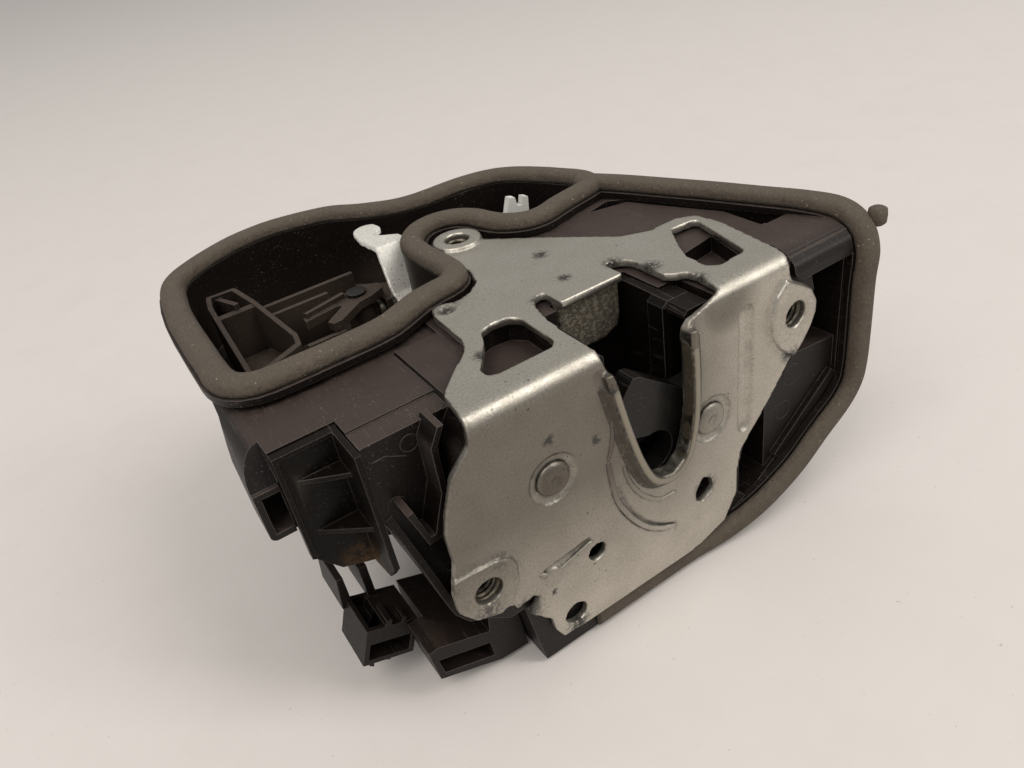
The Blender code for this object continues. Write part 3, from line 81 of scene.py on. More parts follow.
print(len(nodes), "solids in", sorted(set(body_of.values())))

# %% [markdown]
# The camera stands where the photographer stood: close to the lock, to its left and a little above. Its
# place and turn were worked out from the right angle between the two faces of the steel plate, so they are
# plain numbers here. The rows below are the camera's right, down and forward directions.

# %% Camera
RIGHT = np.array([0.82402638, -0.54574304, -0.15213498])
DOWN = np.array([-0.41796211, -0.40429965, -0.81354131])
FORWARD = np.array([0.38247639, 0.73396616, -0.56125349])
CAMERA_AT = np.array([-87.7, -102.2, 81.3]) * MM
FOCAL_PX = 772.24
SENSOR_MM = 36.0
IMAGE_WIDTH = 1024
NEAREST = 0.005


def placed(x, y, z, at):
    """The 4 x 4 matrix of an object at a point, with its own X, Y and Z axes along x, y and z."""
    matrix = np.eye(4)
    matrix[:3, 0], matrix[:3, 1], matrix[:3, 2], matrix[:3, 3] = x, y, z, at
    return Matrix(matrix.tolist())


camera_data = bpy.data.cameras.new("camera")
camera_data.sensor_width = SENSOR_MM
camera_data.lens = FOCAL_PX / IMAGE_WIDTH * SENSOR_MM
camera_data.clip_start = NEAREST
camera = bpy.data.objects.new("camera", camera_data)
bpy.context.scene.collection.objects.link(camera)
camera.matrix_world = placed(RIGHT, -DOWN, -FORWARD, CAMERA_AT)
bpy.context.scene.camera = camera
print("lens", round(camera_data.lens, 2), "mm")

# %% [markdown]
# Colours are written the way a paint program shows them, as hex values. Light adds up in linear numbers, so
# one function turns each hex colour to linear. A second one adds a shader node with its settings and links,
# a third starts a material with its shader's plain values, and a fourth links what was worked out to the
# shader.

# %% Colour and node helpers
# the output that is wanted of a node is its first one, except for these kinds
WANTED_OUTPUT = {"Mix": 2, "TexCoord": 3, "AmbientOcclusion": 1, "VectorMath": 1}


def linear(hex_colour):
    """Each channel c becomes c/12.92 below 0.04045 and ((c + 0.055)/1.055) to the power 2.4 above it."""
    c = np.array([int(hex_colour[i:i + 2], 16) for i in (1, 3, 5)]) / 255.0
    low, high = c / 12.92, ((c + 0.055) / 1.055) ** 2.4
    return tuple(np.where(c <= 0.04045, low, high)) + (1.0,)


def add(mat, kind, inputs=None, **settings):
    """Adds one node and returns its output. inputs maps a socket to a value or to an output."""
    made = mat.node_tree.nodes.new("ShaderNode" + kind)
    for key, value in settings.items():
        setattr(made, key, value)
    for key, value in (inputs or {}).items():
        if isinstance(value, bpy.types.NodeSocket):
            mat.node_tree.links.new(value, made.inputs[key])
        else:
            made.inputs[key].default_value = value
    return made.outputs[WANTED_OUTPUT.get(kind, 0)]


def begin(name, hex_colour, metal, rough, **more):
    """Starts a material with plain values. Returns it, its shader and its Object coordinates."""
    mat = bpy.data.materials.new(name)
    mat.use_nodes = True
    shader = mat.node_tree.nodes["Principled BSDF"]
    shader.inputs["Base Color"].default_value = linear(hex_colour)
    shader.inputs["Metallic"].default_value = metal
    shader.inputs["Roughness"].default_value = rough
    for key, value in more.items():
        shader.inputs[key.replace("_", " ")].default_value = value
    return mat, shader, add(mat, "TexCoord")


def drive(mat, shader, outputs):
    """Links each output to the shader's socket of that name."""
    for socket, output in outputs.items():
        mat.node_tree.links.new(output, shader.inputs[socket])


print("half grey #808080 is", round(linear("#808080")[0], 3), "in linear light")

# %% [markdown]
# Wear and dirt are drawn with a few masks, each 0 or 1 with a soft step between. `spots` is noise cut at a
# level, with its scale worked out from the width of a spot in millimetres. `scratches` is the same noise
# stretched along one direction. `near` fades out round a point and `ramp` along an axis. `hollows` finds
# creases from how much the surface shades itself, and `edges` finds edges from how far a rounded normal
# leaves the face's own.

# %% Masks for wear and dirt
SCRATCH_STRETCH = 18.0
RAYS = 6  # that each point sends out to find shade or a nearby edge


def spots(mat, where, size_mm, low, high, detail=2.0, rough=0.5):
    """Noise whose spots are about size_mm wide: 0 where it is below low and 1 where it is above high."""
    noise = add(mat, "TexNoise", {"Vector": where, "Scale": 1.0 / (size_mm * MM), "Detail": detail,
                                  "Roughness": rough})
    return add(mat, "MapRange", {"Value": noise, "From Min": low, "From Max": high})


def scratches(mat, where, wide_mm, turn, cut_at=0.70):
    """Noise stretched 18 times along one direction and cut high, so that thin lines are left."""
    along = add(mat, "Mapping", {"Vector": where, "Rotation": turn,
                                 "Scale": (1.0, 1.0 / SCRATCH_STRETCH, 1.0)})
    return spots(mat, along, wide_mm, cut_at, cut_at + 0.04, 1.0, 0.4)


def near(mat, where, at_mm, reach_mm, full=0.3):
    """1 within full * reach_mm of a point, falling smoothly to 0 at reach_mm."""
    gap = add(mat, "VectorMath", {0: where, 1: [c * MM for c in at_mm]}, operation="DISTANCE")
    return add(mat, "MapRange", {"Value": gap, "From Min": full * reach_mm * MM, "From Max": reach_mm * MM,
                                 "To Min": 1.0, "To Max": 0.0}, interpolation_type="SMOOTHSTEP")


def ramp(mat, where, axis, from_mm, to_mm, least=0.0):
    """Goes from least at from_mm to 1 at to_mm along an axis, and stays level beyond them."""
    place = add(mat, "SeparateXYZ", {"Vector": where}).node.outputs[axis]
    return add(mat, "MapRange", {"Value": place, "From Min": from_mm * MM, "From Max": to_mm * MM,
                                 "To Min": least})


def hollows(mat, reach_mm):
    """1 in corners and creases and 0 in the open, from how much the surface nearby shades a point."""
    shade = add(mat, "AmbientOcclusion", {"Distance": reach_mm * MM}, samples=RAYS)
    return add(mat, "Math", {0: 1.0, 1: shade}, operation="SUBTRACT")


def edges(mat, round_normal):
    """1 along edges, where the rounded normal leaves the face's own normal, and 0 on the faces."""
    own = add(mat, "NewGeometry").node.outputs["True Normal"]
    same = add(mat, "VectorMath", {0: round_normal, 1: own}, operation="DOT_PRODUCT")
    return add(mat, "MapRange", {"Value": same, "From Min": 0.99, "From Max": 0.86})


print("spots 9 mm wide are noise at a scale of", round(1.0 / (9.0 * MM), 1))

# %% [markdown]
# Masks are put together two at a time: the larger of both, both multiplied, or both added. A colour is then
# built up as a painter would, from the bare surface outwards, each coat laid over the last where its mask
# is 1.

# %% Masks together and coats of colour


def joined(mat, masks, how="MAXIMUM"):
    """Several masks made one, two at a time."""
    total = masks[0]
    for mask in masks[1:]:
        total = add(mat, "Math", {0: total, 1: mask}, operation=how, use_clamp=True)
    return total


def painted(mat, colour, *coats):
    """The colour with each coat, a mask and a hex colour, laid over it in turn."""
    for mask, hex_colour in coats:
        colour = add(mat, "Mix", {0: mask, 6: colour, 7: linear(hex_colour)}, data_type="RGBA")
    return colour


print("masks and coats:", joined.__name__, "and", painted.__name__)

# %% [markdown]
# Grease lies round the slot where the striker drags it, round the screw pads and holes, and in a few stains
# on the plate. Each place is given in millimetres as x, y, z and how far it reaches.

# %% Where the grease lies
SLOT_GREASE = [(-11.0, 0.0, -14.0, 5.0), (-8.0, 0.0, -26.0, 5.0), (-3.5, 0.0, -37.0, 6.0),
               (5.0, 0.0, -36.0, 4.0), (9.0, 0.0, -22.0, 3.0), (12.0, 28.0, 0.0, 5.0),
               (16.5, 20.0, 0.0, 5.0), (19.0, 8.0, 0.0, 5.0), (-10.0, 27.0, 0.0, 4.0),
               (0.0, 31.0, 0.0, 3.5), (-13.4, -1.2, -9.0, 3.4), (-12.4, -1.2, -14.0, 3.4),
               (-11.4, -1.2, -19.0, 3.4), (-10.1, -1.2, -24.5, 3.4), (-8.6, -1.2, -30.0, 3.4),
               (-6.4, -1.2, -36.0, 3.4), (10.6, -1.2, -14.0, 2.6), (10.5, -1.2, -20.0, 2.6),
               (10.1, -1.2, -26.0, 2.6), (8.8, -1.2, -33.0, 2.6)]
PAD_GREASE = [(-50.0, 1.0, -46.5, 6.0), (-45.0, 1.0, -36.0, 4.0), (-41.0, 0.0, -55.0, 7.0),
              (-28.6, 0.0, -69.0, 5.0), (40.0, 0.0, -26.0, 4.0), (-26.9, 39.3, 0.0, 4.5),
              (-31.0, 17.0, 0.0, 4.0)]
STAINS = [(-28.9, 0.0, -13.3, 2.3), (-17.7, 0.0, -19.5, 2.2), (3.3, 45.4, 0.0, 4.2),
          (-33.4, 0.0, -54.2, 1.6), (12.5, 0.0, -52.0, 5.5)]
print("places with grease:", len(SLOT_GREASE + PAD_GREASE + STAINS))

# %% [markdown]
# Each kind of dirt on the steel is a mask, and so is the painted shade in its creases. Grease breaks up into
# flecks: where a place is strong, noise added to it passes a level more often, which gives a ragged edge and
# no round stamp. Painted shade darkens the upper left of the front face. The tab that is folded into the
# mouth is painted darker, with pale streaks across it. The lip of the slot has dirt caked on its flanks, and
# a painted highlight on its top.

# %% Dirt and painted shade on the steel
TAB_FACE, TAB_REACH = (1.3, 24.0, -9.4), 15.0
SLOT_END, SLOT_END_REACH = (19.0, 0.0, -3.0), 15.0
FLECK_MM, SPECK_MM = 1.1, 0.9
GREASE_SPREAD = 0.38
GREASE_THICK = 0.97


def greasy(mat, where, places):
    """Sharp flecks, and clumps where noise + spread * strength passes a level, kept to the places."""
    strong = joined(mat, [near(mat, where, spot[:3], spot[3], 0.15) for spot in places], "ADD")
    spread = add(mat, "Math", {0: strong, 1: GREASE_SPREAD}, operation="MULTIPLY")
    flecks = spots(mat, where, FLECK_MM, 0.6, 0.66, 5.0, 0.75)
    uneven = spots(mat, where, FLECK_MM, 0.38, 0.68, 5.0, 0.75)
    clumps = add(mat, "MapRange", {"Value": add(mat, "Math", {0: uneven, 1: spread}, operation="ADD"),
                                   "From Min": 0.5, "From Max": 0.6})
    return joined(mat, [strong, joined(mat, [flecks, clumps]), GREASE_THICK], "MULTIPLY")


def soiled_and_shaded(mat, where, dirt, specks, grease):
    """Painted shade and dirt in creases, broken up by patches of 2.6 mm, specks in clouds of 14 mm, and the
    grease.
    """
    patch = spots(mat, where, 2.6, 0.36, 0.6, 4.0, 0.65)
    # the crease mask darkens where the surface shades itself: painted shade, standing also for grime
    creases = joined(mat, [hollows(mat, 2.2), 2.4 * dirt, patch], "MULTIPLY")
    speck = joined(mat, [spots(mat, where, SPECK_MM, 0.66, 0.72), spots(mat, where, 14.0, 0.42, 0.62),
                         specks], "MULTIPLY")
    return joined(mat, [creases, speck] + ([greasy(mat, where, grease)] if grease else []))


def front_painted_shade(mat, where):
    """Painted shade: 1 on the front above z = -28 mm and left of x = 5 mm, fading beyond, and by the slot's
    end.
    """
    upper = ramp(mat, where, "Z", -64, -28)
    left = ramp(mat, where, "X", 30, 5, 0.15)
    corner = joined(mat, [upper, left], "MULTIPLY")
    shade_patch = joined(mat, [corner, near(mat, where, SLOT_END, SLOT_END_REACH, 0.2)])
    return joined(mat, [shade_patch, ramp(mat, where, "Y", 2.0, -0.4)], "MULTIPLY")


def darkened_tab(mat, where):
    """1 on the tab below the deck and behind the front face, where it is painted darker, and pale streaks on
    it.
    """
    tab_darkening = joined(mat, [near(mat, where, TAB_FACE, TAB_REACH, 0.8), ramp(mat, where, "Z", -1.4, -2.6),
                       ramp(mat, where, "Y", 8.0, 11.0)], "MULTIPLY")
    streaks = joined(mat, [scratches(mat, where, 0.5, (0.2, 0.9, 0.5), 0.6),
                           spots(mat, where, 1.2, 0.5, 0.62, 5.0)])
    return tab_darkening, joined(mat, [tab_darkening, streaks, 0.5], "MULTIPLY")


def caked_lip_and_highlight(mat, where):
    """1 on the lip's top, which stands 1.95 to 2.2 mm proud and is painted pale as a highlight, 1 on its
    flanks, and the dirt caked on them.
    """
    crest_highlight = ramp(mat, where, "Y", -1.95, -2.2)
    flank = add(mat, "Math", {0: 1.0, 1: crest_highlight}, operation="SUBTRACT")
    return crest_highlight, flank, joined(mat, [flank, spots(mat, where, 1.4, 0.3, 0.44, 5.0, 0.7), 0.9], "MULTIPLY")


print("grease flecks", FLECK_MM, "mm and specks", SPECK_MM, "mm wide")

# %% [markdown]
# The latch plate is stamped sheet steel with a thin zinc coat: a pale, slightly warm grey metal that
# mirrors the room in a soft blur. Its grain from the bath is finer than a pixel, so it is drawn 0.5 mm wide
# to show. Dirt isn't metal, so the shader turns from metal to a rough dull surface where dirt and painted
# shade lie. `lean` tips the shading normal up, so that a polished part in the dark tray catches the light
# from above.

# %% Zinc plated steel
BLOTCH_MM, ZINC_GRAIN_MM, SCRATCH_MM = 9.0, 0.5, 0.3
ZINC_EDGE_MM, ZINC_BUMP_MM = 0.4, 0.035


def zinc(name, base, dull, rough, dirt=1.0, specks=1.0, grease=(), front_shade=0.0, metal=1.0, lean=0.0,
         crest=False):
    """Blotches of 9 mm and grain of 0.5 mm, then dirt and painted shade. On the plate, painted shade on its
    front and a darkened tab; on the lip, caked dirt and a painted highlight on its crest.
    """
    mat, shader, where = begin(name, base, metal, rough)
    blotch = spots(mat, where, BLOTCH_MM, 0.35, 0.7, 4.0, 0.6)
    grain = spots(mat, where, ZINC_GRAIN_MM, 0.3, 0.75, 3.0, 0.7)
    lines = joined(mat, [scratches(mat, where, SCRATCH_MM, (0.3, 0.2, 0.7)),
                         scratches(mat, where, SCRATCH_MM, (1.1, 0.5, -0.4))])
    colour = painted(mat, linear(base), (joined(mat, [blotch, 0.45], "MULTIPLY"), dull),
                     (joined(mat, [grain, 0.5], "MULTIPLY"), "#6f6757"))
    if front_shade:
        # painted shade: #433c33 laid over the upper left of the front face
        colour = painted(mat, colour, (joined(mat, [front_painted_shade(mat, where), front_shade], "MULTIPLY"), "#433c33"))
    soil_and_shade = soiled_and_shaded(mat, where, dirt, specks, grease)
    # 1d1913 is laid over the dirt and as painted shade in the creases
    colour = painted(mat, colour, (soil_and_shade, "#1d1913"))
    if front_shade:
        tab_darkening, pale_marks = darkened_tab(mat, where)
        # the tab is made darker with #3a3224, and pale streaks of #a89f8c cross it
        colour = painted(mat, colour, (joined(mat, [tab_darkening, 0.88], "MULTIPLY"), "#3a3224"), (pale_marks, "#a89f8c"))
        soil_and_shade = joined(mat, [soil_and_shade, joined(mat, [tab_darkening, 0.7], "MULTIPLY")])
    if crest:
        crest_highlight, flank, caked = caked_lip_and_highlight(mat, where)
        # the lip's top is painted pale with #938d80 as a highlight; caked dirt #2c2519 lies on its flanks
        colour = painted(mat, colour, (caked, "#2c2519"), (crest_highlight, "#938d80"))
        soil_and_shade = joined(mat, [joined(mat, [soil_and_shade, caked]), flank], "MULTIPLY")
    bare = add(mat, "MapRange", {"Value": soil_and_shade, "To Min": metal, "To Max": 0.0})
    worn = joined(mat, [blotch, lines], "ADD")
    gloss = add(mat, "MapRange", {"Value": worn, "To Min": rough, "To Max": rough + 0.12})
    gloss = add(mat, "MapRange", {"Value": soil_and_shade, "To Min": gloss, "To Max": 0.5})
    relief = joined(mat, [joined(mat, [grain, 0.6], "MULTIPLY"), joined(mat, [lines, 0.4], "MULTIPLY")],
                    "ADD")
    corner = add(mat, "Bevel", {"Radius": ZINC_EDGE_MM * MM}, samples=RAYS)
    leaning = add(mat, "VectorMath", {0: corner, 1: (0.0, 0.0, lean)}, operation="ADD").node.outputs[0]
    leaning = add(mat, "VectorMath", {0: leaning}, operation="NORMALIZE").node.outputs[0]
    bump = add(mat, "Bump", {"Height": relief, "Distance": ZINC_BUMP_MM * MM, "Normal": leaning})
    drive(mat, shader, {"Base Color": colour, "Metallic": bare, "Roughness": gloss, "Normal": bump})
    return mat


plate_zinc = zinc("zinc plated sheet steel", "#cdc8be", "#b4aea2", 0.32,
                  grease=SLOT_GREASE + PAD_GREASE + STAINS, front_shade=0.82)
part_zinc = zinc("zinc plated turned steel", "#a09a8d", "#857f72", 0.3, dirt=1.7, specks=0.6)
lip_zinc = zinc("worn zinc on the slot's lip", "#8f887a", "#6f6858", 0.28, dirt=1.6, crest=True)
# the thread's darker base and heavy crease mask are painted shade inside the holes
thread_zinc = zinc("zinc thread with painted shade", "#7d7669", "#5a5448", 0.32, dirt=2.4, specks=0.3)
# near white with little metal: the hook lever's own pale zinc, and partly a painted reflection of the light
# its face mirrors
bright_zinc = zinc("bright zinc", "#f7f5ee", "#dcd8cc", 0.36, dirt=0.5, metal=0.35, lean=0.8)
brass = zinc("machined brass", "#c9a35a", "#a98645", 0.3, dirt=0.8, specks=0.2)
spring_wire = zinc("hard drawn wire", "#8a8681", "#6c6863", 0.3, dirt=0.6, specks=0.2)
METALS = (plate_zinc, part_zinc, lip_zinc, thread_zinc, bright_zinc, brass, spring_wire)
print("metals:", [finish.name for finish in METALS])

# %% [markdown]
# The housing is glass-filled nylon, injection moulded. It is near black, and dust has settled on the faces
# that look up, which turns them a dull purplish grey. So the dust is masked by the surface's own normal,
# thinned with noise, and thinner low down. The mould's texture is about 0.1 mm and is drawn 0.45 mm wide so
# that it shows. Pale specks and scuffs lie on it, a grey haze in the tray, and rusty brown dirt low in the
# corners by the plug. Its creases are painted darker, as shade, and its edges paler, as wear and as
# highlights.

# %% Moulded plastics
PLASTIC_EDGE_MM, PLASTIC_GRAIN_MM = 0.22, 0.45


def settled_dust(mat, where, dusty):
    """0 where the normal's Z is 0.8 and 1 from 0.98 up, uneven, and down to 0.3 of it at z = -46 mm."""
    normal = add(mat, "SeparateXYZ", {"Vector": where.node.outputs["Normal"]}).node.outputs
    up = add(mat, "MapRange", {"Value": normal["Z"], "From Min": 0.8, "From Max": 0.98})
    blotch = spots(mat, where, 10.0, 0.25, 0.6, 4.0, 0.6)
    uneven = add(mat, "MapRange", {"Value": blotch, "To Min": 0.75, "To Max": 1.0})
    return joined(mat, [up, uneven, ramp(mat, where, "Z", -46, -24, 0.3), dusty], "MULTIPLY")


def scuffed(mat, where, dusty, scuff):
    """Specks of 0.5 mm in clouds of 9 mm, and faint scratches two ways."""
    speck = joined(mat, [spots(mat, where, 0.5, 0.67, 0.72), spots(mat, where, 9.0, 0.44, 0.66),
                         0.5 * dusty], "MULTIPLY")
    lines = joined(mat, [scratches(mat, where, 0.4, (0.5, 0.1, 0.4)),
                         scratches(mat, where, 0.4, (0.2, 0.9, -0.8))])
    return joined(mat, [speck, joined(mat, [lines, 0.11 * scuff], "MULTIPLY")])


def moulded(name, base, dust, rough, dusty=1.0, dirt=1.0, grain_deep=0.03, scuff=1.0, rust=(), haze=(),
            shine=0.22):
    """Dust on the faces that look up, haze, painted shade in creases, rust, pale edges painted as highlights
    and wear, specks and scuffs.
    """
    mat, shader, where = begin(name, base, 0.0, rough, IOR=1.5, Specular_IOR_Level=shine)
    corner = add(mat, "Bevel", {"Radius": PLASTIC_EDGE_MM * MM}, samples=RAYS)
    settled = settled_dust(mat, where, dusty)
    colour = painted(mat, linear(base), (settled, dust))
    if haze:
        hazy = joined(mat, [near(mat, where, spot[:3], spot[3], 0.5) for spot in haze], "ADD")
        colour = painted(mat, colour, (joined(mat, [hazy, 0.6], "MULTIPLY"), "#463c34"))
    patch = spots(mat, where, 4.0, 0.35, 0.65, 5.0, 0.7)
    creases = joined(mat, [hollows(mat, 3.0), 1.4 * dirt, patch], "MULTIPLY")
    # 120d09 in the creases is painted shade
    colour = painted(mat, colour, (creases, "#120d09"))
    if rust:
        places = joined(mat, [near(mat, where, spot[:3], spot[3]) for spot in rust], "ADD")
        crust = joined(mat, [places, spots(mat, where, 1.6, 0.40, 0.58, 6.0, 0.8)], "MULTIPLY")
        colour = painted(mat, colour, (crust, "#4a351f"))
    open_air = add(mat, "Math", {0: 1.0, 1: creases}, operation="SUBTRACT")
    # pale edges #7b726c: painted highlights along the edges, and wear
    pale_marks = joined(mat, [edges(mat, corner), open_air, 0.75], "MULTIPLY")
    colour = painted(mat, colour, (pale_marks, "#7b726c"), (scuffed(mat, where, dusty, scuff), "#8c8279"))
    dull = add(mat, "MapRange", {"Value": joined(mat, [settled, creases]), "To Min": rough,
                                 "To Max": rough + 0.15})
    grain = spots(mat, where, PLASTIC_GRAIN_MM, 0.2, 0.8, 3.0, 0.7)
    bump = add(mat, "Bump", {"Height": grain, "Distance": grain_deep * MM, "Normal": corner})
    drive(mat, shader, {"Base Color": colour, "Roughness": dull, "Normal": bump})
    return mat


RUST = [(-66.0, 20.0, -38.0, 8.0), (-60.0, 14.0, -47.0, 9.0), (-57.0, 12.0, -56.0, 7.0)]
TRAY = [(-46.0, 78.0, -34.0, 52.0), (-14.0, 96.0, -30.0, 26.0)]
housing_plastic = moulded("glass-filled nylon", "#120d0b", "#413733", 0.42, rust=RUST, haze=TRAY)
gloss_plastic = moulded("glossy moulded acetal", "#0d0a08", "#1b1613", 0.36, dusty=0.5, grain_deep=0.006,
                        rust=RUST, shine=0.12)
white_plastic = moulded("natural acetal", "#d9d8d2", "#dcdad3", 0.4, dusty=0.0, dirt=0.3, scuff=0.4)
coated_steel = moulded("plastic coated steel", "#161413", "#24211f", 0.3, dusty=0.6, grain_deep=0.01)
black_rubber = moulded("moulded rubber", "#131110", "#24211f", 0.6, dusty=0.6)
PLASTICS = (housing_plastic, gloss_plastic, white_plastic, coated_steel, black_rubber)
print("plastics:", [finish.name for finish in PLASTICS])

# %% [markdown]
# The seal is a strip of soft cellular rubber. It has no gloss: a fine skin, brownish grey, paler where dust
# lies on its crown and darker down its sides, with open cells, shallow folds and a few pale grains stuck in
# it.

# %% Foam rubber
FOLD_MM, FOLD_DEEP_MM = 2.4, 0.22
CELL_MM, CELL_DEEP_MM = 0.6, 0.1
foam, foam_shader, foam_where = begin("cellular foam rubber", "#544b42", 0.0, 0.9, IOR=1.45)
foam_normal = add(foam, "SeparateXYZ", {"Vector": foam_where.node.outputs["Normal"]}).node.outputs
foam_crown = add(foam, "MapRange", {"Value": foam_normal["Z"], "From Min": -0.1, "From Max": 0.9})
foam_blotch = spots(foam, foam_where, 7.0, 0.35, 0.7, 4.0, 0.6)
foam_cells = spots(foam, foam_where, CELL_MM, 0.3, 0.75, 3.0, 0.7)
foam_grains = spots(foam, foam_where, 0.7, 0.70, 0.73)
foam_colour = painted(foam, linear("#51483d"), (foam_crown, "#5a5147"),
                      (joined(foam, [foam_blotch, 0.45], "MULTIPLY"), "#655b50"),
                      (joined(foam, [foam_cells, 0.4], "MULTIPLY"), "#2a231d"),
                      (joined(foam, [foam_grains, 0.6], "MULTIPLY"), "#a59a8a"))
foam_folds = spots(foam, foam_where, FOLD_MM, 0.3, 0.7, 2.0, 0.5)
foam_bump = add(foam, "Bump", {"Height": foam_folds, "Distance": FOLD_DEEP_MM * MM})
foam_bump = add(foam, "Bump", {"Height": foam_cells, "Distance": CELL_DEEP_MM * MM, "Normal": foam_bump})
drive(foam, foam_shader, {"Base Color": foam_colour, "Normal": foam_bump})
print("foam: cells", CELL_MM, "mm and folds", FOLD_MM, "mm wide")

# %% [markdown]
# The frame's record gives each solid a finish by the name of its slot. Each slot gets its material here,
# and the latch plate alone gets the greasy sheet with painted shade on its front.

# %% A finish for each solid
FINISH = {
    "plated_steel": part_zinc, "foam_rubber": foam, "housing_plastic": housing_plastic,
    "coated_steel": coated_steel, "spring_steel": spring_wire, "glossy_plastic": gloss_plastic,
    "black_rubber": black_rubber, "bright_zinc": bright_zinc, "white_plastic": white_plastic, "brass": brass,
}
for solid, obj in nodes.items():
    obj.data.materials.clear()
    obj.data.materials.append(plate_zinc if solid == "latch_plate" else FINISH[slot_of[solid]])
print(len(FINISH), "finishes on", len(nodes), "solids")

# %% [markdown]
# No real edge is perfectly sharp, and it is the small rounds that catch the light. Each solid but the seal,
# the
# worm and the two rivets gets a skin: a merged copy of its mesh, shaded smooth across shallow angles, with a
# narrow bevel on its sharp edges. The plate's and the hook lever's skins are remade below. The thin edges of
# the clip, the plug's shroud and the corner bracket are rounded less than the rest.

# %% Rounded skins over the solids
SMOOTH_BELOW = math.radians(32.0)
FLAT_WITHIN = math.radians(0.5)
USUAL_EDGE_MM = 0.2
EDGE_MM = {"cable_clip": 0.15, "connector_shroud": 0.15, "corner_bracket": 0.15}
REMADE = ("foam_seal", "worm", "fork_rivet", "pawl_rivet", "latch_plate", "hook_lever")


def dress(name, mat):
    """A merged copy of a solid with its sharp edges rounded and shallow angles shaded smooth."""
    data = nodes[name].data.copy()
    work = bmesh.new()
    work.from_mesh(data)
    bmesh.ops.remove_doubles(work, verts=work.verts, dist=1e-6)
    bmesh.ops.dissolve_limit(work, angle_limit=FLAT_WITHIN, verts=work.verts, edges=work.edges)
    for edge in work.edges:
        edge.smooth = edge.is_manifold and edge.calc_face_angle(3.0) < SMOOTH_BELOW
    for face in work.faces:
        face.smooth = True
    work.to_mesh(data)
    work.free()
    data.materials.clear()
    data.materials.append(mat)
    skin = bpy.data.objects.new(name + "_skin", data)
    bpy.context.scene.collection.objects.link(skin)
    bevel = skin.modifiers.new("edge", "BEVEL")
    bevel.width = EDGE_MM.get(name, USUAL_EDGE_MM) * MM
    bevel.segments = 2
    bevel.limit_method = "ANGLE"
    bevel.angle_limit = SMOOTH_BELOW
    bevel.use_clamp_overlap = True
    bevel.harden_normals = True
    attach(skin, body_of[name])
    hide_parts(name)
    return skin


skins = [dress(name, nodes[name].data.materials[0]) for name in nodes if name not in REMADE]
print(len(skins), "skins")

# %% [markdown]
# The plate and the hook lever are pressed from sheet, and a press rounds everything: corners of windows,
# steps of the pads, the lip of the slot. A bevel can't follow that, since steps meet and overlap. So their
# skins are remade from small cells and relaxed a few times, which rounds each corner by about a cell or two
# and leaves flat sheet flat.

# %% Pressed sheet skins


def pressed(name, mat, cell_mm, relax):
    """Remade from cells of cell_mm, with each point moved half way to its neighbours' mean relax times."""
    skin = dress(name, mat)
    skin.modifiers.clear()
    cells = skin.modifiers.new("cells", "REMESH")
    cells.mode = "VOXEL"
    cells.voxel_size = cell_mm * MM
    cells.use_smooth_shade = True
    soften = skin.modifiers.new("relax", "SMOOTH")
    soften.factor = 0.5
    soften.iterations = relax
    bpy.context.view_layer.update()
    made = bpy.data.meshes.new_from_object(skin.evaluated_get(bpy.context.evaluated_depsgraph_get()))
    skin.modifiers.clear()
    skin.data = made
    made.materials.clear()
    made.materials.append(mat)
    print(name, len(made.polygons), "faces")


pressed("latch_plate", plate_zinc, 0.45, 3)
pressed("hook_lever", bright_zinc, 0.35, 4)

# %% [markdown]
# New pieces are grids of points. A function gives the points as one array, and this helper makes them a
# mesh: each row is joined to the next one, and each row closes on itself. The rows may close too, or else
# the ends are capped with a face.

# %% Meshes from grids of points


def grid_piece(name, points_mm, mat, body, loop_rows=False):
    """points_mm is rows x columns x 3. Columns always close on themselves; rows do if loop_rows is set."""
    rows, cols = points_mm.shape[:2]
    index = np.arange(rows * cols).reshape(rows, cols)
    a, b = (index, np.roll(index, -1, 0)) if loop_rows else (index[:-1], index[1:])
    faces = np.stack([a, np.roll(a, -1, 1), np.roll(b, -1, 1), b], axis=-1).reshape(-1, 4).tolist()
    if not loop_rows:
        faces += [index[0, ::-1].tolist(), index[-1].tolist()]
    data = bpy.data.meshes.new(name)
    data.from_pydata((points_mm.reshape(-1, 3) * MM).tolist(), [], faces)
    work = bmesh.new()
    work.from_mesh(data)
    bmesh.ops.remove_doubles(work, verts=work.verts, dist=1e-7)
    bmesh.ops.recalc_face_normals(work, faces=work.faces)
    for face in work.faces:
        face.smooth = True
    work.to_mesh(data)
    work.free()
    data.materials.append(mat)
    piece = bpy.data.objects.new(name, data)
    bpy.context.scene.collection.objects.link(piece)
    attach(piece, body)
    print(name, len(data.polygons), "faces")
    return piece


# %% [markdown]
# Many pieces follow a line. A smooth curve through a few given points is worked out first, then the
# direction to its side at each point. A piece that ends in sheet metal gets lower towards both ends, as a
# pressed one does.

# %% Lines to follow


def smooth_run(points, steps, closed):
    """A smooth curve through all the points. Between p1 and p2, with p0 and p3 beside them, it is half of

    2 p1 + (p2 - p0) t + (2 p0 - 5 p1 + 4 p2 - p3) t^2 + (3 p1 - p0 - 3 p2 + p3) t^3, t from 0 to 1.
    """
    p = np.asarray(points, float)
    ends = (p[-1:], p[:2]) if closed else (2 * p[:1] - p[1:2], 2 * p[-1:] - p[-2:-1])
    padded = np.vstack([ends[0], p, ends[1]])
    p0, p1, p2, p3 = (padded[k:len(padded) - 3 + k, None] for k in range(4))
    t = (np.arange(steps) / steps)[None, :, None]
    run = 0.5 * (2 * p1 + (p2 - p0) * t + (2 * p0 - 5 * p1 + 4 * p2 - p3) * t ** 2
                 + (3 * p1 - p0 - 3 * p2 + p3) * t ** 3)
    run = run.reshape(-1, p.shape[1])
    return run if closed else np.vstack([run, p[-1:]])


